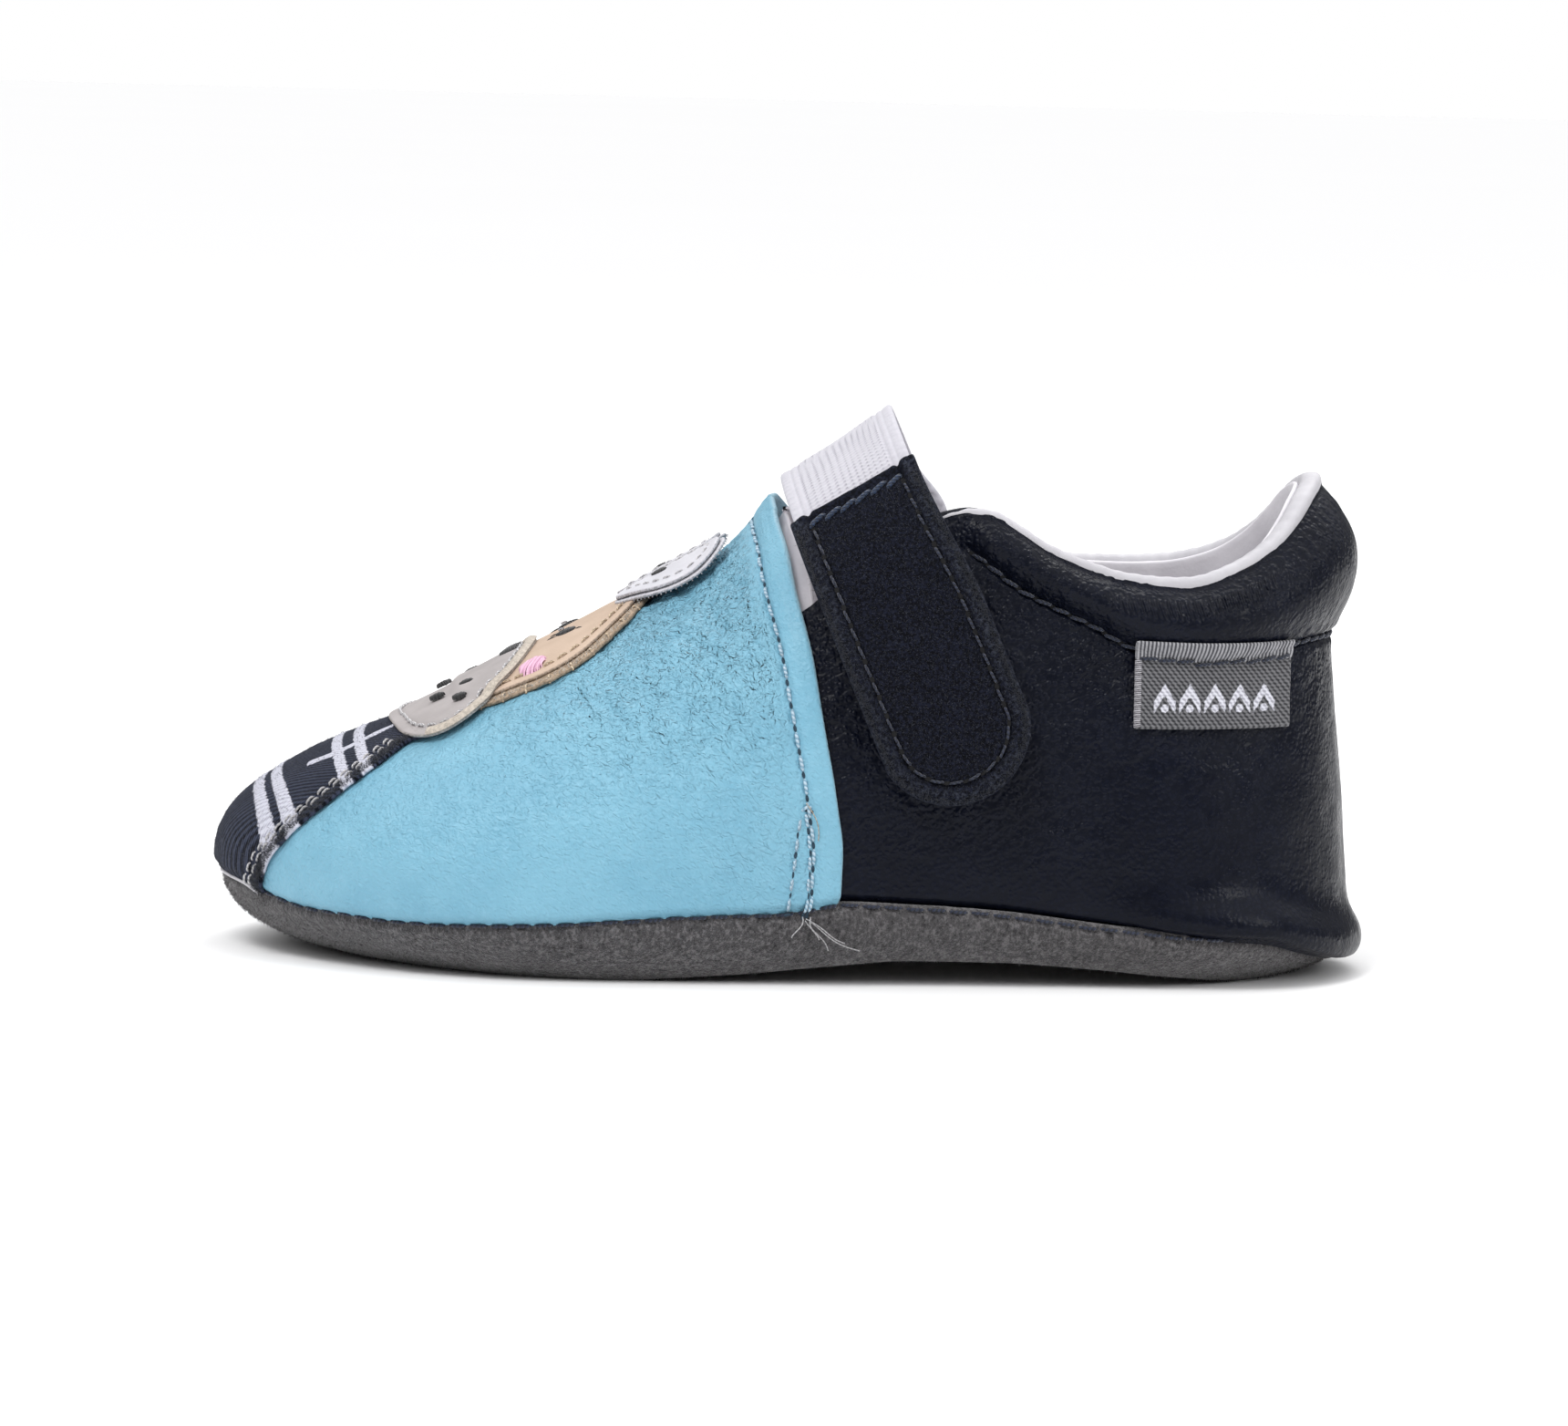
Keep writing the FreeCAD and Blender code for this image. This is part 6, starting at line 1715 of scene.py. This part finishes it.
done(tubes("label_hem_stitches", l, r, "shoe", material=T_NAVY), "navy_leather")

# =====================================================================================
# Seams
# =====================================================================================
def throat_run(ahead, z0, z1=None):
    """Points round the throat at a distance ahead of its edge, outer side up and over."""
    f = throat_end(0)
    ztop = Z_TOP - .01
    for _ in range(60):
        if float(front(ztop)) > float(f(np.array(ztop), np.array(-1))) - ahead:
            ztop -= .15
        else:
            break
    q = 1 - np.linspace(1, 0, 400) ** 2
    out = []
    for sd in (-1, 1):
        zq = z0 + (ztop - z0) * q if z1 is None else np.linspace(z0, z1, 300)
        xq = f(zq, np.full(zq.shape, sd)) - ahead
        out.append((xq, zq, np.full(zq.shape, sd)))
    return out


both = throat_run(3.0, 8.9)
(xa, za, sa), (xb, zb, sb) = both
pa, na = skin(xa, za, sa, 1.0)
pb, nb = skin(xb, zb, sb, 1.0)
pp, nn = np.concatenate([pa, pb[::-1]]), np.concatenate([na, nb[::-1]])
L1, R1_, H1 = stitch_row(pp, nn, pitch=2.8, length=.66, radius=.21, rise=.2, sink=.25, wobble=.03)
for sd in (-1, 1):
    (xa, za, sa) = throat_run(3.45, 8.8, 21.2)[0 if sd < 0 else 1]
    pa, na = skin(xa, za, sa, 1.08)
    l, r, h_ = stitch_row(pa, na, pitch=2.8, length=.62, radius=.19, rise=.16, sink=.25)
    L1, R1_, H1 = L1 + l, R1_ + r, H1 + h_
    dx = 0 if sd < 0 else 2.2
    u = dense([(2.3, 21.0), (1.8, 21.6), (1.1, 21.3), (.8, 20.2), (.4, 16.6), (0, 13.4), (-.5, 9.0)], 160)
    pa, na = skin(u[:, 0] + dx, u[:, 1], sd, 1.1)
    l, r, h_ = stitch_row(pa, na, pitch=2.5, length=.62, radius=.19, rise=.17, sink=.25)
    L1, R1_, H1 = L1 + l, R1_ + r, H1 + h_
done(tubes("vamp_stitches", L1, R1_, "shoe", sides=7, material=T_BLUE), "white_leather")
done(hole_shade_discs("vamp_stitch_holes", H1, .20, "shoe", M_HOLE, stretch=2.1, lift=.02), "black_thread")

lines, radii, holes = [], [], []
xs = np.concatenate([21.0 + 0 * np.arange(0), np.linspace(21.0, 60, 300)])
x, z, side = back_grid(np.array([0.0]), np.linspace(-1, 1, 900), lambda z, s: 20.5 + 0 * z, lambda x, s: collar_low(x, s), lambda x, s: collar_low(x, s) + 1)
pp, nn = skin(x[0], z[0], side[0], -.16)
pp = pp + nn * (rim(x[0], z[0]))[:, None]
l, r, h_ = stitch_row(pp, nn, pitch=2.3, length=.86, radius=.25, rise=.12, sink=.12, slant=.16)
done(tubes("collar_stitches", l, r, "shoe", sides=7, material=T_NAVY), "navy_leather")
done(hole_shade_discs("collar_stitch_holes", h_, .3, "shoe", M_HOLE_DARK, stretch=1.3, lift=.0), "black_thread")

# stitches that hold the upper to the sole, seen only as short dark threads in the gap
lines, radii = [], []
tq = np.linspace(0, 2 * math.pi, 1400)
fz = None
a, side, C = tq, np.where(np.sin(tq) < 0, -1, 1), len(tq)
z = np.full(C, 6.0)
for _ in range(24):
    x, y = outline_at(z, .55)
    z = .4 * z + .6 * (seam_z(x) + .02)
pp = np.stack([x, y + SH, z], -1)
nn = unit(np.stack([x * 0 + (x - 0) * .0, np.sign(y), 0 * x], -1) + 1e-6)
nx = level(x + .02, y, z) - level(x - .02, y, z)
ny = np.where(np.abs(y) > .02, level(x, y + .02, z) - level(x, y - .02, z), 0)
nn = unit(np.stack([nx, ny, 0 * nx], -1))
l, r, h_ = stitch_row(pp, nn, pitch=2.6, length=.8, radius=.22, rise=.1, sink=.25)
done(tubes("sole_seam_stitches", l, r, "shoe", sides=6, material=T_NAVY), "navy_leather")

# a few loose thread ends by the foot of the throat
lines = []
for x0, z0, x1, z1, sag_ in ((1.6, 8.6, 6.6, 6.0, .8), (1.9, 8.4, 4.4, 5.2, .3), (2.2, 8.8, 3.0, 6.4, .4), (1.2, 8.8, .3, 6.6, .5),
                             (2.0, 8.2, 8.0, 5.2, 1.0)):
    q = np.linspace(0, 1, 16)
    xs = x0 + (x1 - x0) * q + .3 * np.sin(q * 5 + x1)
    zs = z0 + (z1 - z0) * q
    pp, nn = skin(xs, zs, -1, 1.5)
    lines.append(pp + nn * (sag_ * np.sin(math.pi * q) * .8 - .25 * (1 - q) ** 3)[:, None])
done(tubes("throat_loose_threads", lines, .07, "shoe", sides=5, material=T_WHITE), "white_leather")
q = np.linspace(0, 1, 30)
pp, nn = skin(1.4 + 1.6 * q + .5 * np.sin(q * 3.3), 22.0 - 4.4 * q, -1, 1.35)
done(tubes("throat_fine_thread", [pp + nn * (.3 * np.sin(math.pi * q))[:, None]], .055, "shoe", sides=5,
           material=T_TAN), "tan_leather")

# =====================================================================================
# Floor, light, camera
# =====================================================================================
me = bpy.data.meshes.new("floor")
me.from_pydata([(-9, -9, 0), (9, -9, 0), (9, 9, 0), (-9, 9, 0)], [], [(0, 1, 2, 3)])
floor = bpy.data.objects.new("floor", me)
bpy.context.scene.collection.objects.link(floor)
FM = Mat("floor_paper", (.95, .95, .95), .95, Specular_IOR_Level=.05)
FM.color(FM.mix(FM.noise(400, detail=1), (.945, .945, .95), (.955, .955, .96)))
me.materials.append(FM.m)

world = bpy.data.worlds.new("studio")
bpy.context.scene.world = world
world.use_nodes = True
bg = world.node_tree.nodes["Background"]
bg.inputs["Color"].default_value = (1, 1, 1, 1)
bg.inputs["Strength"].default_value = 1.0
wt = world.node_tree
tc = wt.nodes.new("ShaderNodeTexCoord")
sp = wt.nodes.new("ShaderNodeSeparateXYZ")
wt.links.new(tc.outputs["Generated"], sp.inputs[0])
mr = wt.nodes.new("ShaderNodeMapRange")
mr.interpolation_type = "SMOOTHSTEP"
mr.inputs["From Min"].default_value, mr.inputs["From Max"].default_value = .15, .75
mr.inputs["To Min"].default_value, mr.inputs["To Max"].default_value = WORLD
wt.links.new(sp.outputs["Z"], mr.inputs["Value"])
lp = wt.nodes.new("ShaderNodeLightPath")
mx = wt.nodes.new("ShaderNodeMix")
mx.data_type = "FLOAT"
wt.links.new(lp.outputs["Is Camera Ray"], mx.inputs[0])
wt.links.new(mr.outputs["Result"], mx.inputs[2])
mx.inputs[3].default_value = 1.0
wt.links.new(mx.outputs[0], bg.inputs["Strength"])


def area(name, place, target, size, power, color=(1, 1, 1)):
    li = bpy.data.lights.new(name, "AREA")
    li.shape = "DISK"
    li.size = size
    li.energy = power
    li.color = color
    ob = bpy.data.objects.new(name, li)
    bpy.context.scene.collection.objects.link(ob)
    ob.location = place
    ob.rotation_euler = (Vector(target) - Vector(place)).to_track_quat("-Z", "Y").to_euler()
    return ob


for L_ in LIGHTS:
    area(*L_)

cam = bpy.data.cameras.new("camera")
cam.sensor_width = 36
cam.sensor_fit = "HORIZONTAL"
cam.lens = 150.46
cam.clip_start, cam.clip_end = .05, 20
co = bpy.data.objects.new("camera", cam)
bpy.context.scene.collection.objects.link(co)
tgt = Vector((-.00134, 0, .02965))
el = math.radians(6.0)
co.location = tgt + Vector((0, -math.cos(el), math.sin(el))) * .8
rot_ = (tgt - co.location).to_track_quat("-Z", "Y").to_matrix()
from mathutils import Matrix
co.rotation_euler = (rot_ @ Matrix.Rotation(math.radians(ROLL), 3, "Z")).to_euler()
bpy.context.scene.camera = co
bpy.context.scene.view_settings.view_transform = "Standard"
